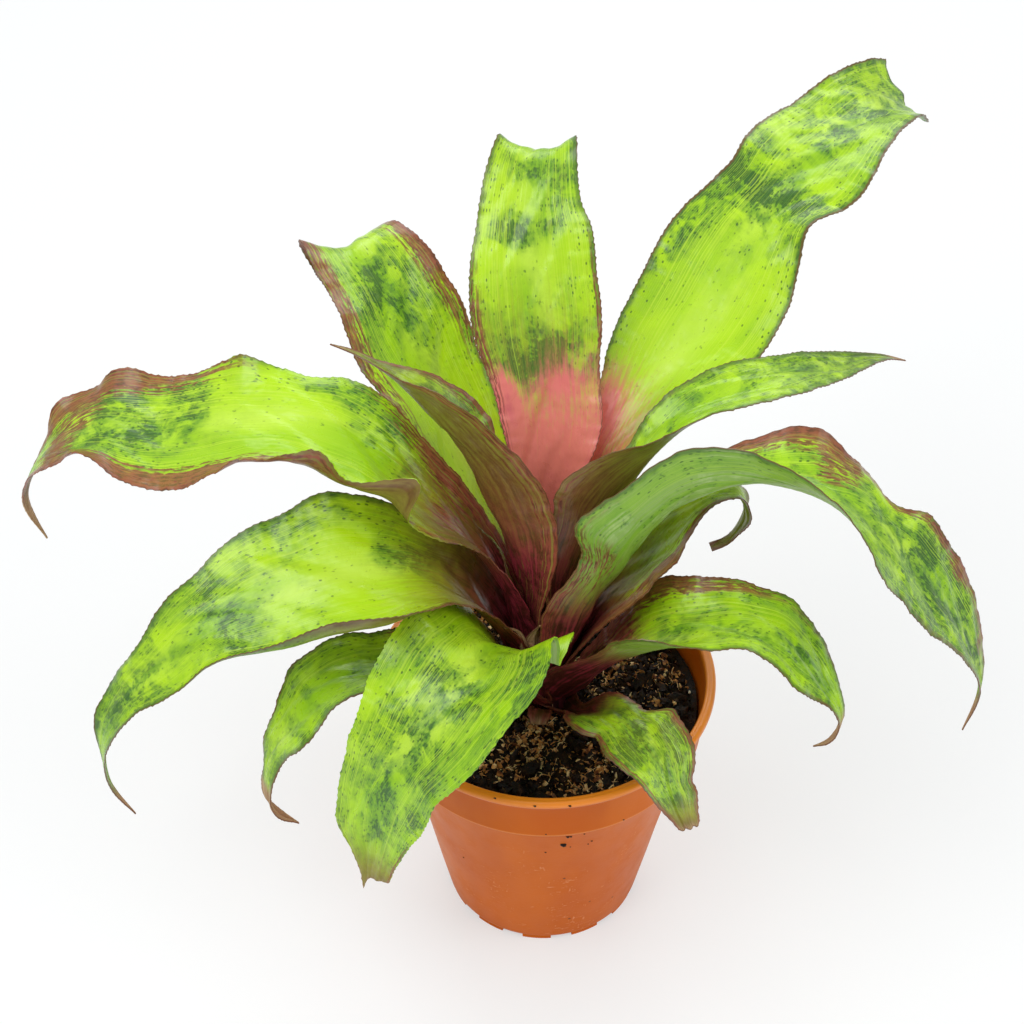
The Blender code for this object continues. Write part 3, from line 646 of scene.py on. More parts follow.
leafBackUpright = {
    "piece": "leafBackUpright",
    "nodes": ["leaf_back_upright"],
    "seed": 4,
    "heading": 91,
    "route": [(5.8, 118, 0.3), (14, 147, 1), (26, 177, 1), (40, 205, 1), (55, 230, 3), (71, 252, 5),
              (88, 266, 3), (101, 263, 1), (108, 246, 1), (112, 225, 1)],
    "leftWidths": [10, 10, 10, 10, 10, 11, 11.5, 13, 13, 15, 16.5, 19, 21.5, 22.5, 22, 20.5, 18, 17, 16,
                   13.5, 12.5, 12, 10, 6, 3],
    "rightWidths": [10, 10, 10, 10, 10, 11, 12, 15, 19, 21, 20.5, 20.5, 22, 22.5, 22, 22, 21, 17.5, 15.5,
                    14, 12.5, 12, 10, 6, 3],
    "folds": [65, 45, 30, 12, 8, 5, 10, 20],
    "left": [0] * 7 + [2, -3, 0, 3, 0, 0],
    "right": [0] * 8 + [3, -2, 2, 0, 0],
    "leftWaves": [(0.79, 0.025, 3)],
    "rightWaves": [(0.8, 0.025, 3.5)],
    "olive": [0.3, 0.1, 0, 0, 0.3, 0.4, 0.15, 0, 0, 0, 0],
    "mottle": [0, 0, 0, 0.1, 0.5, 0.4, 0.2, 0.6, 0.3, 0.1],
    "darkSpots": [(0.465, 0.1, 0.03, 0.45, 2.2), (0.475, -0.25, 0.025, 0.35, 1.6),
                  (0.45, -0.6, 0.02, 0.25, 1), (0.66, 0.2, 0.02, 0.3, 1.2), (0.665, -0.3, 0.015, 0.2, 1),
                  (0.67, 0.55, 0.02, 0.2, 0.8), (0.72, -0.6, 0.04, 0.3, 0.7), (0.75, 0.1, 0.015, 0.3, 0.8)],
    "blush": [1.3, 1.3, 1.2, 1, 0.8, 0.45, 0.1] + [0] * 5,
    "blushSpots": [(0.42, 0.75, 0.06, 0.25, 0.7), (0.43, -0.3, 0.02, 0.4, 0.3),
                   (0.47, 0.6, 0.06, 0.5, -0.45)],
    "bronze": [0, 0, 0, 0, 0.08, 0.12, 0, 0, 0, 0],
    "bronzeLeft": [0.3, 0.3, 0.3, 0.5, 0.6, 0.3, 0.3, 0.3, 0.3],
    "bronzeRight": [0.3, 0.3, 0.3, 0.3, 0.4, 0.3, 0.2, 0.3, 0.3],
    "bronzeStart": 0.7,
    "brown": [0.6, 0.4, 0.2, 0.1, 0.1],
    "maroon": [1.2, 0.7, 0.1] + [0] * 7,
}
makeLeaf(leafBackUpright)

leafBackRightLong = {
    "piece": "leafBackRightLong",
    "nodes": ["leaf_back_right_long"],
    "seed": 5,
    "heading": 53,
    "route": [(6.2, 116, -0.7), (13.2, 138, 0.7), (22.1, 159.4, 2), (32.8, 179.8, 0.3), (48.9, 196, -1.7),
              (69.3, 207, -2.1), (90.5, 216.2, -2), (110.9, 227.1, -1.2), (132.2, 236.3, -0.8),
              (154.5, 242.4, -1.4), (177.5, 245, -3), (202, 243, -2.2), (231, 227.5, 0.1)],
    "leftWidths": [11, 11, 11, 11, 11, 12, 13, 13.64, 17.37, 21.86, 24.65, 26.18, 27.22, 27.72, 26.73,
                   24.06, 22.1, 24.59, 25.99, 24.79, 23, 20.5, 19.5, 19.5, 19],
    "rightWidths": [11, 11, 11, 11, 11, 12, 13, 13.65, 17.32, 20.88, 23.67, 24.93, 24.47, 23.65, 20.5, 17.5,
                    21.43, 24.06, 22.5, 18.5, 16.5, 16, 14, 12.5, 12],
    "rolls": [-5, -11.78, -7.1, 1.51, 11.19, 10.51, 2.7, 8.51, 31.58],
    "folds": [65, 32.65, 30.31, 20.17, 10.29, 7.51, 7.77, 8.95, 15.48],
    "blunt": True,
    "tipCut": [6, 4, 6, 7, 4, 0, 5, 6, 2],
    "left": [0] * 10 + [-0.16, 2.77, -0.97, -1.98, 1.04, 1.6, 0.26],
    "right": [0, 0, 0, 0, 0.13, -0.71, -2.59, -4.6, -7.04, -5.24, 6.3, -0.71, -1.5, 0, 1.23, 2.53, -0.17],
    "olive": [0.9, 0.9, 0.85, 0.7, 0.4, 0.12] + [0] * 6 + [0.12],
    "mottle": [0, 0, 0, 0, 0.03, 0.12, 0.3, 0.75, 0.5, 0.6, 0.8, 0.9],
    "darkSpots": [(0.65, 0.3, 0.018, 0.5, 1.4), (0.661, -0.3, 0.018, 0.4, 1.2),
                  (0.678, 0.75, 0.034, 0.25, 1.1), (0.774, 0.05, 0.023, 0.25, 1.1),
                  (0.791, -0.3, 0.017, 0.2, 0.8), (0.842, 0.2, 0.017, 0.2, 0.9),
                  (0.864, -0.2, 0.014, 0.2, 0.8), (0.554, 0.85, 0.068, 0.2, 0.7)],
    "blush": [1.1, 1, 0.8, 0.6, 0.35, 0.08] + [0] * 7,
    "blushSpots": [(0.305, 0.7, 0.056, 0.4, 0.5)],
    "bronzeLeft": [0.3, 0.3, 0.23, 0.13, 0.09, 0.1, 0.1, 0.1, 0.1],
    "bronzeRight": [0.3, 0.3, 0.23, 0.13, 0.09, 0.1, 0.1, 0.1, 0.11],
    "bronzeStart": 0.75,
    "brown": [0.9, 0.6, 0.2, 0, 0, 0, 0],
    "maroon": [1.2, 1, 0.5, 0.1] + [0] * 6,
    "rim": [0.6, 0.7, 1, 1.2, 1.2, 1.1],
}
makeLeaf(leafBackRightLong)

leafRightNarrow = {
    "piece": "leafRightNarrow",
    "nodes": ["leaf_right_narrow"],
    "seed": 6,
    "heading": 33,
    "route": [(5.1, 122, 0), (8, 148, -1), (14, 164, -2), (24, 180, -4), (35, 195, -5), (50, 207, -6),
              (68, 211, -6), (87, 211, -6), (106, 206, -4), (126, 198, -1), (143, 191, 0), (156, 183, 0)],
    "leftWidths": [9, 9, 9, 8, 8, 8, 8, 8.5, 9.5, 10.5, 12, 12.5, 12.5, 12, 11.5, 10, 8, 7, 6.5, 5, 4, 2.5,
                   1.2, 0.7, 0.3],
    "rightWidths": [11, 11, 12, 13, 15, 18, 22, 28, 29, 24.5, 15, 10, 9, 11, 12, 12.5, 13, 12.5, 12, 11,
                    9.5, 7.5, 5, 3, 0.3],
    "rolls": [0, -38, -50, -44, -10, 5, 5, 0, 0],
    "folds": [48, 45, 62, 52, 28, 12, 8, 15, 20],
    "olive": [0.9, 0.8, 0.6, 0.2, 0, 0.1, 0.2, 0.3, 0.5],
    "dry": [0] * 12 + [0.2, 1],
    "mottle": [0.2, 0.3, 0.4, 0.5, 0.6, 0.8, 0.9, 1, 1],
    "darkSpots": [(0.6, 0.5, 0.1, 0.3, 0.4), (0.85, 0.3, 0.08, 0.6, 0.8)],
    "bronzeLeft": [0.3, 0.3, 0.3, 0.3, 0.4, 0.3, 0.3, 0.4, 0.8],
    "bronzeRight": [1, 1, 0.9, 0.5, 0.2, 0.2, 0.2, 0.4, 0.8],
    "bronzeStart": 0.7,
    "brown": [1.1, 1.1, 0.9, 0.6, 0.4, 0.3, 0.35, 0.4],
    "maroon": [1.3, 0.9, 0.5, 0.3, 0.1] + [0] * 5,
}
makeLeaf(leafRightNarrow)

leafLeftFolded = {
    "piece": "leafLeftFolded",
    "nodes": ["leaf_left_folded"],
    "slot": "leaf_bronze",
    "seed": 7,
    "heading": 148,
    "route": [(4.4, 125, 0), (7, 142, 1), (12, 159, 2), (20, 178, 2), (30, 197, 2), (43, 212, 2),
              (58, 219, 1), (74, 222, 0), (87, 222, 0)],
    "leftWidths": [8, 8, 9, 10, 13, 16.5, 20, 23, 25.5, 27, 28, 29, 29, 28, 27, 26, 23, 18, 11, 6, 3, 2,
                   1.5, 1, 0.3],
    "rightWidths": [8, 9, 10, 11, 12.5, 13, 13, 12, 11, 9, 9, 10, 12, 17, 18, 17, 15, 12.5, 10, 7, 4, 2,
                    1.5, 1, 0.3],
    "rolls": [0, 32, 44, 45, 38, 25, 8, 0],
    "folds": [42, 48, 58, 58, 55, 55, 50, 40],
    "olive": [0.3, 0.4, 0.5, 0.5, 0.4, 0.4, 0.5, 0.6],
    "dry": [0] * 8 + [0.2, 0.6],
    "mottle": [0.3, 0.4, 0.7, 1.2, 1.5, 1.5, 1.5, 1.5],
    "bronze": [0.4, 0.4, 0.3, 0.1, 0, 0, 0, 0.2],
    "bronzeLeft": [0.8, 0.8, 0.8, 0.7, 0.6, 0.6, 0.7, 0.8],
    "bronzeRight": [0.8, 0.8, 0.8, 0.7, 0.7, 0.8, 0.8, 0.8],
    "bronzeStart": 0.6,
    "brown": [1.1, 1.1, 1, 0.85, 0.7, 0.6, 0.6, 0.7],
    "maroon": [1.3, 1.25, 1, 0.6, 0.35, 0.2, 0.1, 0.1, 0, 0],
}
makeLeaf(leafLeftFolded)

leafRightArching = {
    "piece": "leafRightArching",
    "nodes": ["leaf_right_arching"],
    "seed": 8,
    "heading": 352,
    "route": [(6.7, 113, 0), (11, 129, 0), (17, 146, 0), (26, 166, 0), (35, 183, 0), (46, 198, 0),
              (61, 207, 0), (78, 209, 0), (96, 205, 0), (111, 194, 0), (124, 178, 0), (136, 161, 0),
              (146, 143, 0), (152, 123, 0), (149, 101, 0)],
    "leftWidths": [14, 14, 14, 15, 17, 17, 16, 15, 15, 17, 18, 18, 20, 22.5, 24, 14, 17, 16.5, 18, 16, 12.5,
                   9, 5, 2.2, 0.4],
    "rightWidths": [15, 18, 20, 21.5, 17, 17, 26, 23, 19, 19, 18, 18.5, 21, 21.5, 21, 23, 19.5, 18.5, 16.5,
                    12, 9, 6, 3, 1.5, 0.4],
    "rolls": [0, -20, -30, -35, -40, -25, 5, 15, 15, 5, 0],
    "folds": [38, 40, 55, 60, 50, 28, 12, 8, 8, 12, 20],
    "left": [0] * 5 + [3, 9, -6, 3, 0, 0, 0, 0],
    "right": [0, 0, 0, 0, 3] + [0] * 6,
    "olive": [0.6, 0.15] + [0] * 5 + [0.1, 0.3, 0.5],
    "dry": [0] * 16 + [0.6, 1],
    "mottle": [0.3, 0.4, 0.5, 0.6, 0.6, 0.6, 0.8, 1.1, 1.1, 1, 0.8],
    "darkSpots": [(0.7, 0.3, 0.03, 0.4, 0.8), (0.76, -0.2, 0.03, 0.4, 0.8), (0.8, 0.4, 0.03, 0.4, 0.8),
                  (0.84, 0, 0.03, 0.5, 0.9)],
    "bronzeLeft": [0.3, 0.3, 0.3, 0.4, 0.9, 1.2, 0.9, 0.7, 0.8, 0.9, 0.8],
    "bronzeRight": [1, 0.8, 0.5, 0.3, 0.2, 0.2, 0.2, 0.3, 0.4, 0.6, 0.8],
    "bronzeStart": 0.6,
    "bronzeSpots": [(0.54, 0.55, 0.035, 0.3, 0.8), (0.76, 0.8, 0.02, 0.2, 0.8), (0.86, 0.5, 0.02, 0.3, 0.7),
                    (0.2, -0.5, 0.05, 0.3, 0.7), (0.25, 0.4, 0.05, 0.3, 0.6)],
    "brown": [0.9, 0.4, 0.1, 0, 0, 0, 0.1, 0.3],
    "maroon": [1.3, 0.95, 0.35, 0.05] + [0] * 8,
}
makeLeaf(leafRightArching)

leafRightHidden = {
    "piece": "leafRightHidden",
    "nodes": ["leaf_right_hidden"],
    "seed": 9,
    "heading": 14,
    "route": [(7.9, 107, 0), (13, 125, 0), (22, 141, 0), (34, 156, 0), (46, 171, 0), (57, 181, 0),
              (67, 181, 0), (71, 170, 0), (66, 160, 0), (59, 157, 0)],
    "leftWidths": [13, 13, 13, 12, 12, 12, 13, 15, 17, 18.5, 19, 19, 17.5, 15.5, 14, 12, 10, 8, 6.5, 6, 8,
                   6.5, 4, 2, 0.3],
    "rightWidths": [13, 13, 13, 12, 12, 12, 13, 15, 17, 18.5, 19, 17, 17.5, 17, 13, 9, 6.5, 5.5, 5, 5, 6.5,
                    5, 3, 1.5, 0.3],
    "folds": [65, 25, 20, 12, 15, 20],
    "left": [0] * 8 + [2, -2],
    "right": [0] * 8 + [-2, 2],
    "olive": [1, 0.9, 0.7, 0.4, 0.3, 0.4, 0.6],
    "dry": [0] * 6 + [0.1, 0.2, 0.25, 0.4],
    "mottle": [0.3, 0.5, 0.5, 0.6, 1.2],
    "bronzeLeft": [0.5, 0.4, 0.2, 0.1, 0.5, 0.9],
    "bronzeRight": [1, 1.2, 1.2, 1, 0.4, 0.8],
    "bronzeStart": 0.2,
    "brown": [1, 0.6, 0.4, 0.3, 0.4, 0.5],
    "maroon": [1.3, 1.2, 0.6, 0.2, 0, 0, 0, 0],
}
makeLeaf(leafRightHidden)

leafRightLow = {
    "piece": "leafRightLow",
    "nodes": ["leaf_right_low"],
    "seed": 10,
    "heading": 340,
    "route": [(9.2, 100, 0), (20, 117, -3), (31, 133, -5), (43, 144, -5), (55, 151, -4), (69, 156, -2),
              (82, 154, 0), (92, 146, 1), (99, 137, 2), (105, 130, 1), (107, 122, 0), (104, 112, 0),
              (99, 107, 0)],
    "leftWidths": [16, 17, 18, 19, 20, 21, 21.5, 22, 22, 22, 21, 20.5, 20.5, 19, 18, 18.5, 17, 15.5, 14, 9,
                   5, 4, 4, 2.5, 0.3],
    "rightWidths": [18, 20, 22, 22, 21, 19, 17, 17, 19, 21, 19.5, 15, 11.5, 9.5, 10.5, 12, 12.5, 13, 10.5,
                    8, 5, 3.5, 3, 1.5, 0.3],
    "rolls": [-20, -15, 0, 0, 0],
    "folds": [45, 48, 40, 10, 5, 5, 20],
    "left": [0, 0, 0, 2, 4, 5, 4, 2] + [0] * 5,
    "right": [0, 0, 0, -1, 3, 6, 0, 1] + [0] * 5,
    "olive": [0.7, 0.5, 0.35, 0.25, 0.15, 0.1, 0.15, 0.4],
    "dry": [0] * 11 + [0.3, 0.9, 1],
    "mottle": [0.5, 0.4, 0.2, 0.2, 0.4, 0.6, 0.8, 0.8],
    "darkSpots": [(0.4, 0.1, 0.13, 0.8, 0.4), (0.6, -0.2, 0.06, 0.3, 0.6), (0.72, 0.2, 0.05, 0.3, 0.8)],
    "bronzeLeft": [1, 1.2, 1.4, 1.2, 0.75, 0.4, 0.4, 0.4, 0.9],
    "bronzeRight": [0.3, 0.3, 0.4, 0.3, 0.3, 0.3, 0.4, 0.6, 0.9],
    "bronzeStart": 0.55,
    "bronzeSpots": [(0.2, 0.5, 0.08, 0.5, 0.7)],
    "brown": [1.3, 1, 0.3, 0, 0, 0.1, 0.3],
    "maroon": [1.4, 1.3, 0.8, 0.15] + [0] * 6,
}
makeLeaf(leafRightLow)

leafFrontSmall = {
    "piece": "leafFrontSmall",
    "nodes": ["leaf_front_small"],
    "seed": 11,
    "heading": 303,
    "route": [(9.8, 98, 0), (19, 104, 0), (30, 114, 0), (42, 124, 1), (54, 125, 2), (66, 123, 2),
              (76, 117, 1), (88, 110, 0)],
    "leftWidths": [10, 8, 6, 5, 5, 7, 9, 9.5, 10, 11, 11.5, 11, 9, 9.5, 15, 14.5, 14.5, 14, 12.5, 10.5, 8,
                   8, 6.5, 5, 4],
    "rightWidths": [10, 9, 7, 6, 7, 8.5, 10, 12, 15, 17, 18, 17, 13.5, 14.5, 16, 17, 16, 14.5, 12, 10.5, 9,
                    8, 6.5, 5, 4],
    "folds": [50, 40, 20, 10, 10],
    "blunt": True,
    "tipCut": [1.5, 0.5, 1.2, 0, 0.8, 0, 1.5],
    "left": [0, 0, 0, 0, -5] + [0] * 5,
    "right": [0, 0, 0, -2, -4, 0, 0, 0, 0],
    "olive": [0.5, 0.4, 0.35, 0.35, 0.35, 0.3, 0.25, 0.9],
    "dry": [0] * 23 + [0.2, 0.55],
    "mottle": [0.4, 0.6, 1, 1.3, 1.4, 1.4, 1.4, 1.6],
    "darkSpots": [(0.6, 0.3, 0.05, 0.3, 0.6), (0.62, -0.5, 0.06, 0.3, 0.6), (0.75, 0.6, 0.05, 0.2, 0.6),
                  (0.75, -0.1, 0.04, 0.2, 0.5)],
    "bronzeLeft": [0.8, 0.9, 0.9, 0.7, 0.6, 0.6, 0.8, 1.3],
    "bronzeRight": [0.8, 0.9, 0.7, 0.6, 0.6, 0.6, 0.8, 1.2],
    "bronzeStart": 0.6,
    "brown": [0.8, 0.4, 0.2, 0.2],
    "maroon": [1.3, 1.2, 0.5, 0.1, 0, 0, 0],
}
makeLeaf(leafFrontSmall)

leafFrontBroad = {
    "piece": "leafFrontBroad",
    "nodes": ["leaf_front_broad"],
    "seed": 12,
    "heading": 233,
    "route": [(9, 101, 0.7), (20, 131, 0), (33, 150.5, 2), (48, 157.5, 7), (62, 156, 8), (74, 147, 6),
              (82, 135, 2), (88, 118, -4), (93, 98, -4), (97, 80, -2)],
    "leftWidths": [15, 13, 11, 11, 13, 18, 23, 25, 27, 23, 27, 30, 27.5, 26, 24, 21, 18.5, 19.5, 20, 19,
                   16.5, 13.5, 10.5, 8, 6],
    "rightWidths": [15, 14, 12, 11, 14, 18, 20, 23.5, 25, 26.5, 29, 29, 28.5, 27.5, 26.5, 24, 22, 20.5,
                    17.5, 16, 15.5, 14.5, 8.5, 5, 3.5],
    "rolls": [5, 5, 0, 0, 0, 0],
    "folds": [50, 35, 30, 15, 10, 10],
    "blunt": True,
    "tipCut": [0, 3, 5, 6, 6.5, 7, 8],
    "left": [0, 0, 2, 6] + [0] * 6,
    "leftWaves": [(0.335, 0.018, -13)],
    "olive": [0.5, 0.3, 0.1, 0, 0, 0, 0, 0.3, 0.9],
    "dry": [0] * 18 + [0.45],
    "mottle": [0, 0.06, 0.18, 0.36, 0.54, 0.54, 0.54, 0.6, 0.54, 0.42],
    "darkSpots": [(0.44, 0.85, 0.05, 0.2, 0.94), (0.5, 0.3, 0.03, 0.3, 1.08), (0.48, -0.3, 0.03, 0.2, 0.94),
                  (0.6, 0.1, 0.03, 0.3, 1.08), (0.65, 0.5, 0.03, 0.3, 0.94), (0.75, 0.7, 0.04, 0.2, 1.08),
                  (0.75, -0.2, 0.04, 0.3, 1.08), (0.62, -0.4, 0.04, 0.2, 0.94),
                  (0.84, 0.2, 0.03, 0.4, 0.94)],
    "bronzeLeft": [0.5, 0.3, 0.1, 0.1, 0.2, 0.1, 0.2, 0.5, 0.9],
    "bronzeRight": [0.3, 0.1, 0, 0, 0, 0, 0.1, 0.2, 0.8],
    "bronzeStart": 0.75,
    "brown": [0.9, 0.4, 0.1, 0.1, 0.2],
    "maroon": [1.3, 0.8, 0.2] + [0] * 5,
    "rim": [0.5, 0.4, 0.3, 0.35, 0.4, 0.5, 0.6],
}
makeLeaf(leafFrontBroad)

leafLeftSmall = {
    "piece": "leafLeftSmall",
    "nodes": ["leaf_left_small"],
    "seed": 13,
    "heading": 205,
    "route": [(9.4, 99, 0.3), (21, 116, 0), (37, 127, 0), (54, 136, 0), (68, 141, 0), (81, 140, 0),
              (90, 133, 0), (98, 123, 0), (104, 112, 0), (107, 100, 0), (106, 88, 0), (97, 74, 0)],
    "leftWidths": [14, 14, 13, 12, 12, 13, 14, 15, 16, 16, 16, 15.5, 14.5, 12, 10.5, 12.5, 11.5, 7, 4, 4,
                   4.5, 5, 4.5, 2.5, 0.4],
    "rightWidths": [14, 14, 13, 12, 12, 13, 14, 15, 15, 14, 12, 15, 16, 15.5, 16, 13, 9.5, 9, 8, 4, 4.5, 5,
                    4.5, 2.5, 0.4],
    "folds": [50, 35, 15, 5, 10],
    "left": [0] * 6 + [2, -2, 0, -2, 0, 0, 0],
    "right": [0] * 5 + [2, -1, 0, 1, 0, 0, 0, 0],
    "olive": [0.6, 0.5, 0.3, 0.1, 0, 0.1, 0.2, 0.4],
    "dry": [0] * 11 + [0.7, 1.2, 1.3],
    "mottle": [0.4, 0.5, 0.6, 0.6, 0.6, 0.6, 0.6, 0.5],
    "bronzeLeft": [0.6, 0.5, 0.4, 0.3, 0.3, 0.4, 0.6, 0.8],
    "bronzeRight": [0.5, 0.4, 0.4, 0.3, 0.4, 0.5, 0.7, 0.8],
    "bronzeStart": 0.65,
    "bronzeSpots": [(0.24, -0.1, 0.05, 0.5, 1), (0.33, -0.4, 0.06, 0.4, 1), (0.3, 0.4, 0.04, 0.3, 0.7)],
    "brown": [0.8, 0.5, 0.4, 0.4, 0.5],
    "maroon": [1.3, 1, 0.4, 0.1, 0, 0, 0],
}
makeLeaf(leafLeftSmall)

leafStub = {
    "piece": "leafStub",
    "nodes": ["leaf_stub"],
    "slot": "leaf_bronze",
    "seed": 14,
    "heading": 262,
    "route": [(9.6, 98.5, 0), (12, 101.5, 0), (15.5, 103, 0), (19, 101.5, 0)],
    "leftWidths": [2.5, 4, 4.5, 3],
    "rightWidths": [2.5, 4, 4.5, 3],
    "folds": [20, 20],
    "olive": [0, 0.2, 0.2],
    "dry": [0, 0.1, 0.5],
    "bronze": [0.2, 0.2, 0.4],
    "bronzeLeft": [0.5, 0.5],
    "bronzeRight": [0.5, 0.5],
    "brown": [0.8, 0.8],
    "maroon": [1.2, 1.1, 0.8],
}
makeLeaf(leafStub)

leafScrapTall = {
    "piece": "leafScrapTall",
    "slot": "leaf_bronze",
    "seed": 21,
    "heading": 246,
    "route": [(11, 122, 0), (12, 132, 0), (13, 141, 1), (15, 148, 4)],
    "leftWidths": [3.5, 4, 3.5, 2, 0.3],
    "rightWidths": [3.5, 4, 3, 1, 0.3],
    "rolls": [0, 25, 60],
    "folds": [20, 35],
    "dry": [1, 1.3, 1.3],
}
makeLeaf(leafScrapTall)

leafScrapBroad = {
    "piece": "leafScrapBroad",
    "slot": "leaf_bronze",
    "seed": 22,
    "heading": 256,
    "route": [(14, 120, 0), (15, 128, 0), (16, 136, 0), (19, 142, -2)],
    "leftWidths": [3.5, 4.5, 4, 2.6, 0.8],
    "rightWidths": [3.5, 4, 3, 2.5, 0.8],
    "rolls": [0, -20, -40],
    "folds": [20, 35],
    "blunt": True,
    "tipCut": [2, 0, 1.5, 0, 2],
    "dry": [1, 1.3, 1.3],
}
makeLeaf(leafScrapBroad)

leafScrapThin = {
    "piece": "leafScrapThin",
    "slot": "leaf_bronze",
    "seed": 23,
    "heading": 236,
    "route": [(12, 122, 0), (14, 133, 0), (16, 142, -1), (20, 146, -4)],
    "leftWidths": [2, 2, 1.6, 0.8, 0.3],
    "rightWidths": [2, 2, 1.6, 0.8, 0.3],
    "rolls": [0, 30, 50],
    "folds": [20, 35],
    "dry": [1, 1.3, 1.3],
}
makeLeaf(leafScrapThin)


pot = {
    "steps": 168,
    # rings of the wall as (radius, height) in mm: under the floor, up to the lip, then down the inside
    "underside": [(33.4, 2), (36, 2), (36.4, 2.15)],
    "outside": [(36.7, 2.6), (36.9, 3.6), (37.2, 5), (40.6, 22), (44.4, 42), (48.7, 63), (52.9, 80),
                (54.3, 84.3), (54.5, 84.9), (54.9, 85.2), (56, 85.3), (56.6, 85.55), (56.95, 86.1),
                (56.95, 86.7), (56.9, 87.2), (57.9, 100.5), (58.2, 103.8), (58.6, 104.4), (59.8, 104.7),
                (60.7, 105.1), (61.1, 105.8), (61.1, 106.8), (60.8, 107.5), (60.2, 107.95), (59.6, 108)],
    "inside": [(59.2, 107.7), (58.9, 107.75), (58.3, 107.8), (57.8, 107.5), (57.5, 106.9), (57.3, 103.5),
               (56.3, 96), (55.4, 89), (54.5, 86.5), (52.9, 83), (47.2, 62), (43, 42), (35.6, 3.5)],
    "footDepth": 2,
    "footCount": 12,
    "footShare": 0.57,  # of each foot's sector, which starts footStart of a sector round from +X
    "footStart": 0.567,
    "holeCount": 8,
    "holeRadius": 3.5,
    "holeCircle": 25,
    "drillDepth": 9,
    "body": linear(216, 108, 18),
    "bodyDeep": linear(204, 96, 12),
    # painted highlight: the lip's top is painted brighter than the body
    "lipHighlight": linear(255, 150, 36),
    "scuff": linear(246, 196, 150),
    "dirt": linear(40, 28, 20),
    # painted shade: darker just under the collar's step
    "paintedShade": linear(140, 56, 10),
    # painted highlight: a bright line along the collar's lower edge
    "paintedEdgeHighlight": linear(250, 172, 92),
    "roughness": 0.3,
    # heights in mm between which a finish, a painted shade or a painted highlight comes in or goes
    "paintedShadeBand": [(80.2, 84.7), (85.4, 85.1)],
    "edgeHighlightBand": [(85.2, 85.6), (86.9, 86.1)],
    "scuffBand": (82, 50),
    "lipHighlightBand": (104.2, 107),
    "shineBand": (100, 106),
    # specks stuck to the wall: degrees round from +X, height and size in mm
    "specks": [(-83.1, 74.2, 1.35), (-81.8, 80.3, 0.8), (-80.6, 80.1, 0.6), (-90.1, 68.8, 0.45),
               (-71.6, 73.3, 0.5), (-72.9, 71.5, 0.4), (-75.4, 80.5, 0.45), (-93.9, 106.9, 0.55),
               (-82.7, 106.6, 0.6), (-107, 107.6, 0.5), (-90.2, 87, 0.35), (-130.9, 46.1, 0.35),
               (-61.7, 86.7, 0.4), (-80.2, 71.8, 0.35), (48, 60, 0.6), (137, 77, 0.5), (102, 34, 0.45),
               (-12, 52, 0.5), (178, 66, 0.4)],
}


def potPlastic():
    material, tree, shader = newMaterial("potPlastic")
    wall = objectPoints(tree)
    height = place(tree, "ShaderNodeSeparateXYZ", {"Vector": wall}).outputs[2]

    def rising(band, low=0.0, high=1.0):
        return fade(tree, height, band[0] * mm, band[1] * mm, low, high)

    wash = cloud(tree, objectPoints(tree, (1, 1, 0.5)), 32, 3.0)
    colour = blendColours(tree, pot["body"], pot["bodyDeep"], fade(tree, wash, 0.35, 0.7))
    # fine scratches, mostly level, and rubbed patches on the lower wall
    scratches = cloud(tree, objectPoints(tree, (0.5, 0.5, 1.8)), 620, 2.0, 0.6)
    crossScratches = cloud(tree, objectPoints(tree, (1.5, 1.5, 0.4)), 560, 2.0, 0.6)
    rubbed = cloud(tree, wall, 70, 4.0, 0.65)
    marks = maths(tree, "MAXIMUM", fade(tree, scratches, 0.62, 0.7), fade(tree, crossScratches, 0.64, 0.71))
    marks = times(tree, marks, fade(tree, rubbed, 0.46, 0.62))
    marks = times(tree, marks, rising(pot["scuffBand"], 0.05))
    colour = blendColours(tree, colour, pot["scuff"], times(tree, marks, 0.42))
    grit = place(tree, "ShaderNodeTexVoronoi", {"Vector": wall, "Scale": 210.0}).outputs["Distance"]
    gritHere = times(tree, fade(tree, grit, 0.16, 0.07), fade(tree, cloud(tree, wall, 34, 2.0), 0.6, 0.68))
    colour = blendColours(tree, colour, pot["dirt"], times(tree, gritHere, 0.8))
    # a painted highlight along the collar's lower edge, painted shade just below it, and a lip painted
    # brighter as a highlight
    # painted shade below the collar's step
    paintedShade = times(tree, *[rising(band) for band in pot["paintedShadeBand"]])
    colour = blendColours(tree, colour, pot["paintedShade"], times(tree, paintedShade, 0.55))
    # painted highlight along the collar's lower edge
    paintedEdgeHighlight = times(tree, *[rising(band) for band in pot["edgeHighlightBand"]])
    colour = blendColours(tree, colour, pot["paintedEdgeHighlight"], times(tree, paintedEdgeHighlight, 0.38))
    # painted highlight: the lip's top brighter
    colour = blendColours(tree, colour, pot["lipHighlight"], rising(pot["lipHighlightBand"], 0.0, 0.85))
    tree.links.new(colour, shader.inputs["Base Color"])
    rough = fade(tree, rubbed, 0.35, 0.7, pot["roughness"], pot["roughness"] + 0.14)
    tree.links.new(plus(tree, rough, times(tree, marks, 0.25)), shader.inputs["Roughness"])
    tree.links.new(rising(pot["shineBand"], 0.14, 0.5), shader.inputs["Specular IOR Level"])
    relief = plus(tree, cloud(tree, wall, 620, 3.0, 0.6), times(tree, marks, -0.6))
    tree.links.new(bumpFrom(tree, relief, 0.08 * mm, 0.5), shader.inputs["Normal"])
    return material


potPiece = startRing("nurseryPot", pot["steps"], *pot["underside"][0], False)
drawRings(potPiece, pot["underside"][1:] + pot["outside"] + pot["inside"])
bpy.ops.mesh.edge_face_add()
pickOpenEdges(potPiece)
bpy.ops.mesh.edge_face_add()
turnOutward()
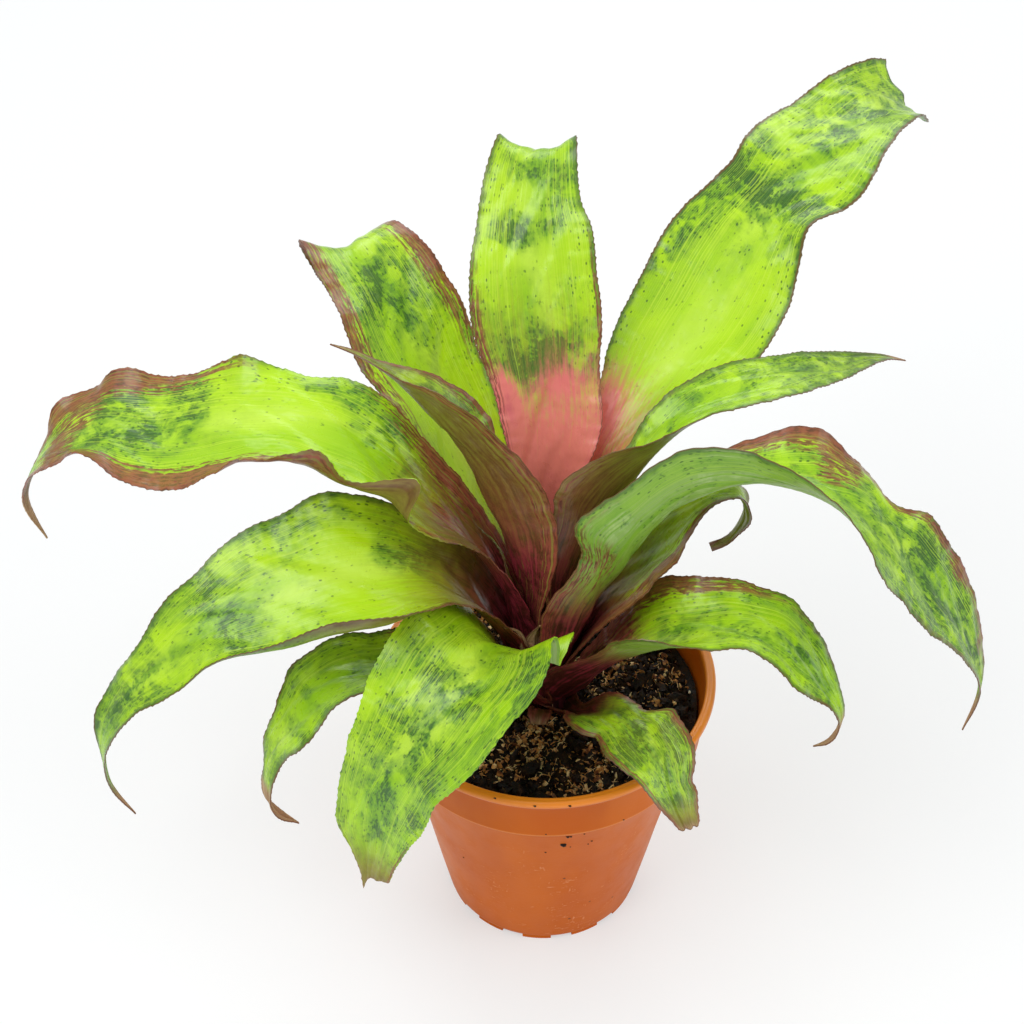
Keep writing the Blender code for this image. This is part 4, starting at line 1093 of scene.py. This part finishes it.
# the feet: faces of the ring under the wall, drawn down
bpy.ops.mesh.select_mode(type="FACE")
bpy.ops.mesh.select_all(action="DESELECT")
footInner, footOuter = (radius for radius, height in pot["underside"][:2])
footTop = pot["underside"][0][1]
for face in bmesh.from_edit_mesh(potPiece.data).faces:
    middle = face.calc_center_median()
    sector = (math.atan2(middle.y, middle.x) / math.tau * pot["footCount"] - pot["footStart"]) % 1
    inRing = footInner * mm < math.hypot(middle.x, middle.y) < footOuter * mm
    face.select = bool(inRing and middle.z < (footTop + 0.1) * mm and sector < pot["footShare"])
bpy.ops.mesh.extrude_region_move(TRANSFORM_OT_translate={"value": (0, 0, -pot["footDepth"] * mm)})
closeEdit()

drills = []
for k in range(pot["holeCount"]):
    angle = math.tau * (k + 0.5) / pot["holeCount"]
    x, y = pot["holeCircle"] * mm * math.cos(angle), pot["holeCircle"] * mm * math.sin(angle)
    clearSelection()
    bpy.ops.mesh.primitive_cylinder_add(vertices=32, radius=pot["holeRadius"] * mm,
                                        depth=pot["drillDepth"] * mm, location=(x, y, footTop * mm))
    drills.append(bpy.context.object)
clearSelection()
for drill in drills:
    drill.select_set(True)
bpy.context.view_layer.objects.active = drills[0]
bpy.ops.object.join()
drill = bpy.context.object
cut = potPiece.modifiers.new("drain holes", "BOOLEAN")
cut.operation = "DIFFERENCE"
cut.solver = "EXACT"
cut.object = drill
applyModifiers(potPiece)
bpy.data.objects.remove(drill)
potPiece.data.materials.clear()
potPiece.data.materials.append(potPlastic())
settle(potPiece, "root", "pot_plastic", "pot")


# a lumpy top inside the pot, with loose clods, crumbs, flakes and fibres on it

soil = {
    "top": 95.5,
    "radius": 54.9,
    "steps": 224,
    "insets": 52,  # rings from the rim to the middle
    "insetStep": 1.02,
    "side": [(54.2, 89), (51.9, 82), (44.2, 51), (35.2, 4.2)],
    "lumps": [(70, 2.3, 1.8), (170, 7.1, 2.6), (390, 4.4, 1.6)],  # how fine, layer of noise, height in mm
    "moundRise": 1,
    "moundReach": 56,
    "edgeFrom": 50,  # from here out the lumps fade and the top drops
    "edgeBreadth": 5,
    "edgeDrop": 0.8,
    # loose bits: how many, least and greatest size in mm, and how far above the soil they sit in shares of it
    "clods": (760, 0.9, 2.6, 0.3),
    "crumbs": (4200, 0.3, 0.85, 0.7),
    "fibres": (700, 0.6, 2, 0.5),
    "flakes": (1100, 0.4, 1.1, 1),
    "barkFlakes": (1100, 0.5, 1.4, 0.7),
    "chips": (30, 0.3, 0.7, 1.8),
    "sizeShares": (0.7, 1, 1, 1.3),
    "seed": 41,
    "looseFrom": 6,  # loose bits lie between these distances from the axis
    "looseTo": 52.5,
    "clumpShare": 0.75,  # share of the fibres and flakes that gather in clumps
    "clumpSpread": 4.5,
    "clumpCount": 24,
    "clumpReach": 44,
    "clumpSpots": [(-2, -19), (-6, -16), (15, -39), (6, -44), (38, 0), (45, 9), (-14, -27), (-9, -33),
                   (-4, -25), (1, -32), (-23, -35), (31, 15), (20, -8), (39, -12), (22, -44)],
    "earth": linear(66, 44, 26),
    "earthDark": linear(10, 7, 5),
    "bark": linear(120, 70, 36),
    "fibre": linear(214, 150, 80),
    "fibrePale": linear(255, 228, 172),
    "chip": linear(234, 226, 208),
}


def earthMaterial():
    material, tree, shader = newMaterial("soilEarth")
    points = objectPoints(tree)
    tint = cloud(tree, points, 260, 5.0, 0.7)
    grains = cloud(tree, points, 1500, 3.0, 0.7)
    colour = blendColours(tree, soil["earthDark"], soil["earth"], fade(tree, tint, 0.42, 0.7))
    colour = blendColours(tree, colour, soil["bark"], fade(tree, grains, 0.6, 0.74, 0.0, 0.8))
    tree.links.new(colour, shader.inputs["Base Color"])
    tree.links.new(fade(tree, tint, 0.35, 0.6, 0.4, 0.85), shader.inputs["Roughness"])
    shader.inputs["Specular IOR Level"].default_value = 0.25
    relief = plus(tree, tint, times(tree, grains, 0.4))
    tree.links.new(bumpFrom(tree, relief, 0.9 * mm, 0.9), shader.inputs["Normal"])
    return material


def fibreMaterial(name, first, second, roughness):
    material, tree, shader = newMaterial(name)
    points = objectPoints(tree)
    colour = blendColours(tree, first, second, fade(tree, cloud(tree, points, 320, 3.0), 0.38, 0.64))
    tree.links.new(colour, shader.inputs["Base Color"])
    shader.inputs["Roughness"].default_value = roughness
    tree.links.new(bumpFrom(tree, cloud(tree, points, 1400, 2.0), 0.15 * mm, 0.6), shader.inputs["Normal"])
    return material


def soilHeight(x, y):  # metres above the floor: a low mound with lumps, which drops a little at the wall
    r = math.hypot(x, y)
    lump = sum(noise.noise(Vector((x * fine, y * fine, layer))) * high for fine, layer, high in soil["lumps"])
    edge = max(0.0, (r / mm - soil["edgeFrom"]) / soil["edgeBreadth"])
    mound = soil["moundRise"] * (1 - r / (soil["moundReach"] * mm))
    return (soil["top"] + mound + lump * (1 - 0.5 * edge) - soil["edgeDrop"] * edge) * mm


soilPiece = startRing("pottingSoil", soil["steps"], soil["radius"], soil["top"], True)
for step in range(soil["insets"]):
    bpy.ops.mesh.inset(thickness=soil["insetStep"] * mm, depth=0)
bpy.ops.mesh.poke()
for vert in bmesh.from_edit_mesh(soilPiece.data).verts:
    vert.co.z = soilHeight(vert.co.x, vert.co.y)
bmesh.update_edit_mesh(soilPiece.data)
pickOpenEdges(soilPiece)
drawRings(soilPiece, soil["side"])
bpy.ops.mesh.edge_face_add()
turnOutward()
closeEdit()
earth = earthMaterial()
soilPiece.data.materials.append(earth)
settle(soilPiece, "root", "potting_soil", "soil")

random.seed(soil["seed"])
clumpReach = soil["clumpReach"]
clumps = soil["clumpSpots"] + [tuple(random.uniform(-clumpReach, clumpReach) for axis in "xy")
                               for k in range(soil["clumpCount"])]


def takeShape(piece):  # its points and faces; the piece itself goes
    shape = [tuple(v.co) for v in piece.data.vertices], [tuple(f.vertices) for f in piece.data.polygons]
    bpy.data.objects.remove(piece)
    return shape


def clodShapes(count, rounder, roughness, flat=(0.5, 0.8)):  # flat: their heights, for a breadth of 1
    shapes = []
    for k in range(count):
        clearSelection()
        if rounder:
            bpy.ops.mesh.primitive_uv_sphere_add(segments=8, ring_count=6, radius=1)
        else:
            bpy.ops.mesh.primitive_ico_sphere_add(subdivisions=1, radius=1)
        clod = bpy.context.object
        openForEdit(clod)
        bpy.ops.mesh.select_all(action="SELECT")
        bpy.ops.transform.resize(value=(1, random.uniform(0.5, 0.95), random.uniform(*flat)))
        closeEdit()
        for vert in clod.data.vertices:
            vert.co *= 1 + roughness * noise.noise(vert.co * 1.7 + Vector((k * 3.1, 0, 0)))
            vert.co.z += 0.25 * vert.co.x ** 2
        shapes.append(takeShape(clod))
    return shapes


def fibreShapes(count):
    shapes = []
    for k in range(count):
        clearSelection()
        bpy.ops.mesh.primitive_cylinder_add(vertices=3, radius=0.1, depth=2, end_fill_type="NGON")
        fibre = bpy.context.object
        openForEdit(fibre)
        bpy.ops.mesh.select_mode(type="EDGE")
        bpy.ops.mesh.select_all(action="DESELECT")
        for edge in bmesh.from_edit_mesh(fibre.data).edges:
            edge.select = abs(edge.verts[0].co.z - edge.verts[1].co.z) > 1
        bpy.ops.mesh.subdivide(number_cuts=5)
        closeEdit()
        bend = random.uniform(-0.8, 0.8)
        kink = random.uniform(2.0, 4.5)
        for vert in fibre.data.vertices:
            vert.co.x += bend * vert.co.z ** 2 - bend / 2
            vert.co.y += 0.3 * math.sin(kink * vert.co.z + k)
        shapes.append(takeShape(fibre))
    return shapes


def scatterSpot(clumped):  # somewhere on the soil, or near one of the clumps
    reach = soil["looseTo"]
    while True:
        x, y = random.uniform(-reach, reach), random.uniform(-reach, reach)
        if clumped and random.random() < soil["clumpShare"]:
            x, y = (random.gauss(c, soil["clumpSpread"]) for c in random.choice(clumps))
        if soil["looseFrom"] < math.hypot(x, y) < reach:
            return x * mm, y * mm


def loosePiece(name, shapes, material, slotName):  # one piece of many small closed shapes
    verts, faces = [], []
    for shapeVerts, shapeFaces in shapes:
        first = len(verts)
        verts += shapeVerts
        faces += [tuple(first + i for i in face) for face in shapeFaces]
    mesh = bpy.data.meshes.new(name)
    mesh.from_pydata(verts, [], faces)
    mesh.materials.append(material)
    piece = bpy.data.objects.new(name, mesh)
    bpy.context.collection.objects.link(piece)
    settle(piece, "root", slotName)


def scatter(name, shapes, bits, material, clumped=False):
    count, least, greatest, standing = bits
    copies = []
    for k in range(count):
        shapeVerts, shapeFaces = random.choice(shapes)
        x, y = scatterSpot(clumped)
        size = random.uniform(least, greatest) * mm * random.choice(soil["sizeShares"])
        facing = Vector((random.uniform(-1, 1), random.uniform(-1, 1), random.uniform(-1, 1))).normalized()
        turn = facing.to_track_quat("Z", "Y").to_matrix()
        spot = Vector((x, y, soilHeight(x, y) + standing * size))
        copies.append(([spot + turn @ (Vector(co) * size) for co in shapeVerts], shapeFaces))
    loosePiece(name, copies, material, "potting_soil")


coir = fibreMaterial("coirFibre", soil["fibre"], soil["fibrePale"], 0.7)
bark = fibreMaterial("barkFlake", soil["bark"], soil["fibre"], 0.6)
paleChip = fibreMaterial("paleChip", soil["chip"], soil["fibrePale"], 0.9)
scatter("soilClods", clodShapes(6, True, 1.3), soil["clods"], earth)
scatter("soilCrumbs", clodShapes(5, False, 0.9), soil["crumbs"], earth)
scatter("soilFibres", fibreShapes(8), soil["fibres"], coir, clumped=True)
flakes = clodShapes(6, False, 0.9, (0.15, 0.3))
scatter("soilFlakes", flakes, soil["flakes"], coir, clumped=True)
scatter("soilBark", flakes, soil["barkFlakes"], bark, clumped=True)
scatter("soilChips", clodShapes(3, False, 0.5), soil["chips"], paleChip)

# specks of soil left on the pot's wall and lip
specks = []
speckVerts, speckFaces = clodShapes(1, True, 0.5, (0.7, 0.8))[0]
wallHeights, wallRadii = zip(*sorted((height, radius) for radius, height in pot["outside"]))
for angle, height, size in pot["specks"]:
    radius = np.interp(height, wallHeights, wallRadii)
    turn = math.radians(angle)
    spot = Vector((radius * math.cos(turn), radius * math.sin(turn), height))
    specks.append(([(spot + Vector(co) * size) * mm for co in speckVerts], speckFaces))
loosePiece("wallSpecks", specks, earth, "potting_soil")


stem = {
    "rings": [(9.2, 90), (9.4, 96), (8.9, 99), (8.2, 103), (7.3, 108), (6.1, 114), (4.9, 120), (3.6, 126),
              (2.2, 128.4)],
    "steps": 48,
    "flesh": linear(112, 40, 52),
    "fleshDark": linear(60, 26, 28),
    "sheathGreen": linear(120, 112, 44),
}


def stemMaterial():
    material, tree, shader = newMaterial("stemFlesh")
    lines = cloud(tree, objectPoints(tree, (1, 1, 0.12)), 620, 3.0, 0.6)
    tint = cloud(tree, objectPoints(tree), 120, 3.0)
    colour = blendColours(tree, stem["flesh"], stem["fleshDark"], fade(tree, lines, 0.4, 0.62))
    colour = blendColours(tree, colour, stem["sheathGreen"], fade(tree, tint, 0.6, 0.75, 0.0, 0.5))
    tree.links.new(colour, shader.inputs["Base Color"])
    shader.inputs["Roughness"].default_value = 0.5
    tree.links.new(bumpFrom(tree, lines, 0.4 * mm, 0.7), shader.inputs["Normal"])
    return material


stemPiece = startRing("stemCore", stem["steps"], *stem["rings"][0], True)
drawRings(stemPiece, stem["rings"][1:])
bpy.ops.mesh.poke()
turnOutward()
closeEdit()
stemPiece.data.materials.append(stemMaterial())
settle(stemPiece, "root", "stem_tissue", "stem")


studio = {
    "floorSize": 24,
    "floor": linear(245, 248, 249),
    "glowShare": 0.5,  # how much of the floor that the camera sees shines by itself
    "worldStrength": 0.5,
    "cameraFrom": (-12, -585.1, 732.6),
    "cameraTilt": 47,
    "lens": 83.7,
    # where each lamp is and what it aims at, its breadth and height, all in metres, and its power
    "lamps": {"keyBox": ((-0.55, -0.35, 1.2), (0, 0, 0.12), (0.9, 0.9), 8.5),
              "sideBox": ((0.9, -0.35, 0.9), (0, 0, 0.12), (0.6, 0.9), 3.6),
              "backBox": ((0.1, 1.0, 0.9), (0, 0, 0.15), (1.2, 0.6), 5.0)},
}


def seenStraight(tree):  # 1 for what the camera sees with nothing in between
    return tree.nodes.new("ShaderNodeLightPath").outputs["Is Camera Ray"]


clearSelection()
bpy.ops.mesh.primitive_plane_add(size=studio["floorSize"], location=(0, 0, 0))
floorPiece = bpy.context.object
floorPiece.name = "studioFloor"
floorMaterial, floorTree, floorShader = newMaterial("studioPaper")
floorShader.inputs["Base Color"].default_value = studio["floor"]
floorShader.inputs["Roughness"].default_value = 0.9
floorShader.inputs["Specular IOR Level"].default_value = 0.1
# seen straight on the paper is partly lit from within, so it stays white and its shadows soft
paperGlow = place(floorTree, "ShaderNodeEmission", {"Color": (1, 1, 1, 1), "Strength": 1.0}).outputs[0]
paperMix = floorTree.nodes.new("ShaderNodeMixShader")
floorTree.links.new(times(floorTree, seenStraight(floorTree), studio["glowShare"]), paperMix.inputs[0])
floorTree.links.new(floorShader.outputs[0], paperMix.inputs[1])
floorTree.links.new(paperGlow, paperMix.inputs[2])
floorTree.links.new(paperMix.outputs[0], floorTree.nodes["Material Output"].inputs["Surface"])
floorPiece.data.materials.append(floorMaterial)

bpy.ops.object.camera_add(location=[c * mm for c in studio["cameraFrom"]],
                          rotation=(math.radians(studio["cameraTilt"]), 0, 0))
camera = bpy.context.object
camera.data.lens = studio["lens"]
camera.data.clip_start = 0.01
camera.data.dof.use_dof = False
bpy.context.scene.camera = camera

for lampName, (lampFrom, lampTo, lampSize, power) in studio["lamps"].items():
    bpy.ops.object.light_add(type="AREA", location=lampFrom)
    lamp = bpy.context.object
    lamp.name = lampName
    lamp.rotation_euler = (Vector(lampTo) - Vector(lampFrom)).to_track_quat("-Z", "Y").to_euler()
    lamp.data.shape = "RECTANGLE"
    lamp.data.size, lamp.data.size_y = lampSize
    lamp.data.energy = power

world = bpy.data.worlds.new("studioWorld")
bpy.context.scene.world = world
world.use_nodes = True
worldTree = world.node_tree
worldTree.nodes["Background"].inputs["Color"].default_value = (1, 1, 1, 1)
# a white backdrop straight behind the plant, and softer light from the same world everywhere else
strength = studio["worldStrength"]
backdrop = maths(worldTree, "MULTIPLY_ADD", seenStraight(worldTree), 1 - strength, strength)
worldTree.links.new(backdrop, worldTree.nodes["Background"].inputs["Strength"])
bpy.context.scene.view_settings.view_transform = "Standard"

print("stage set")
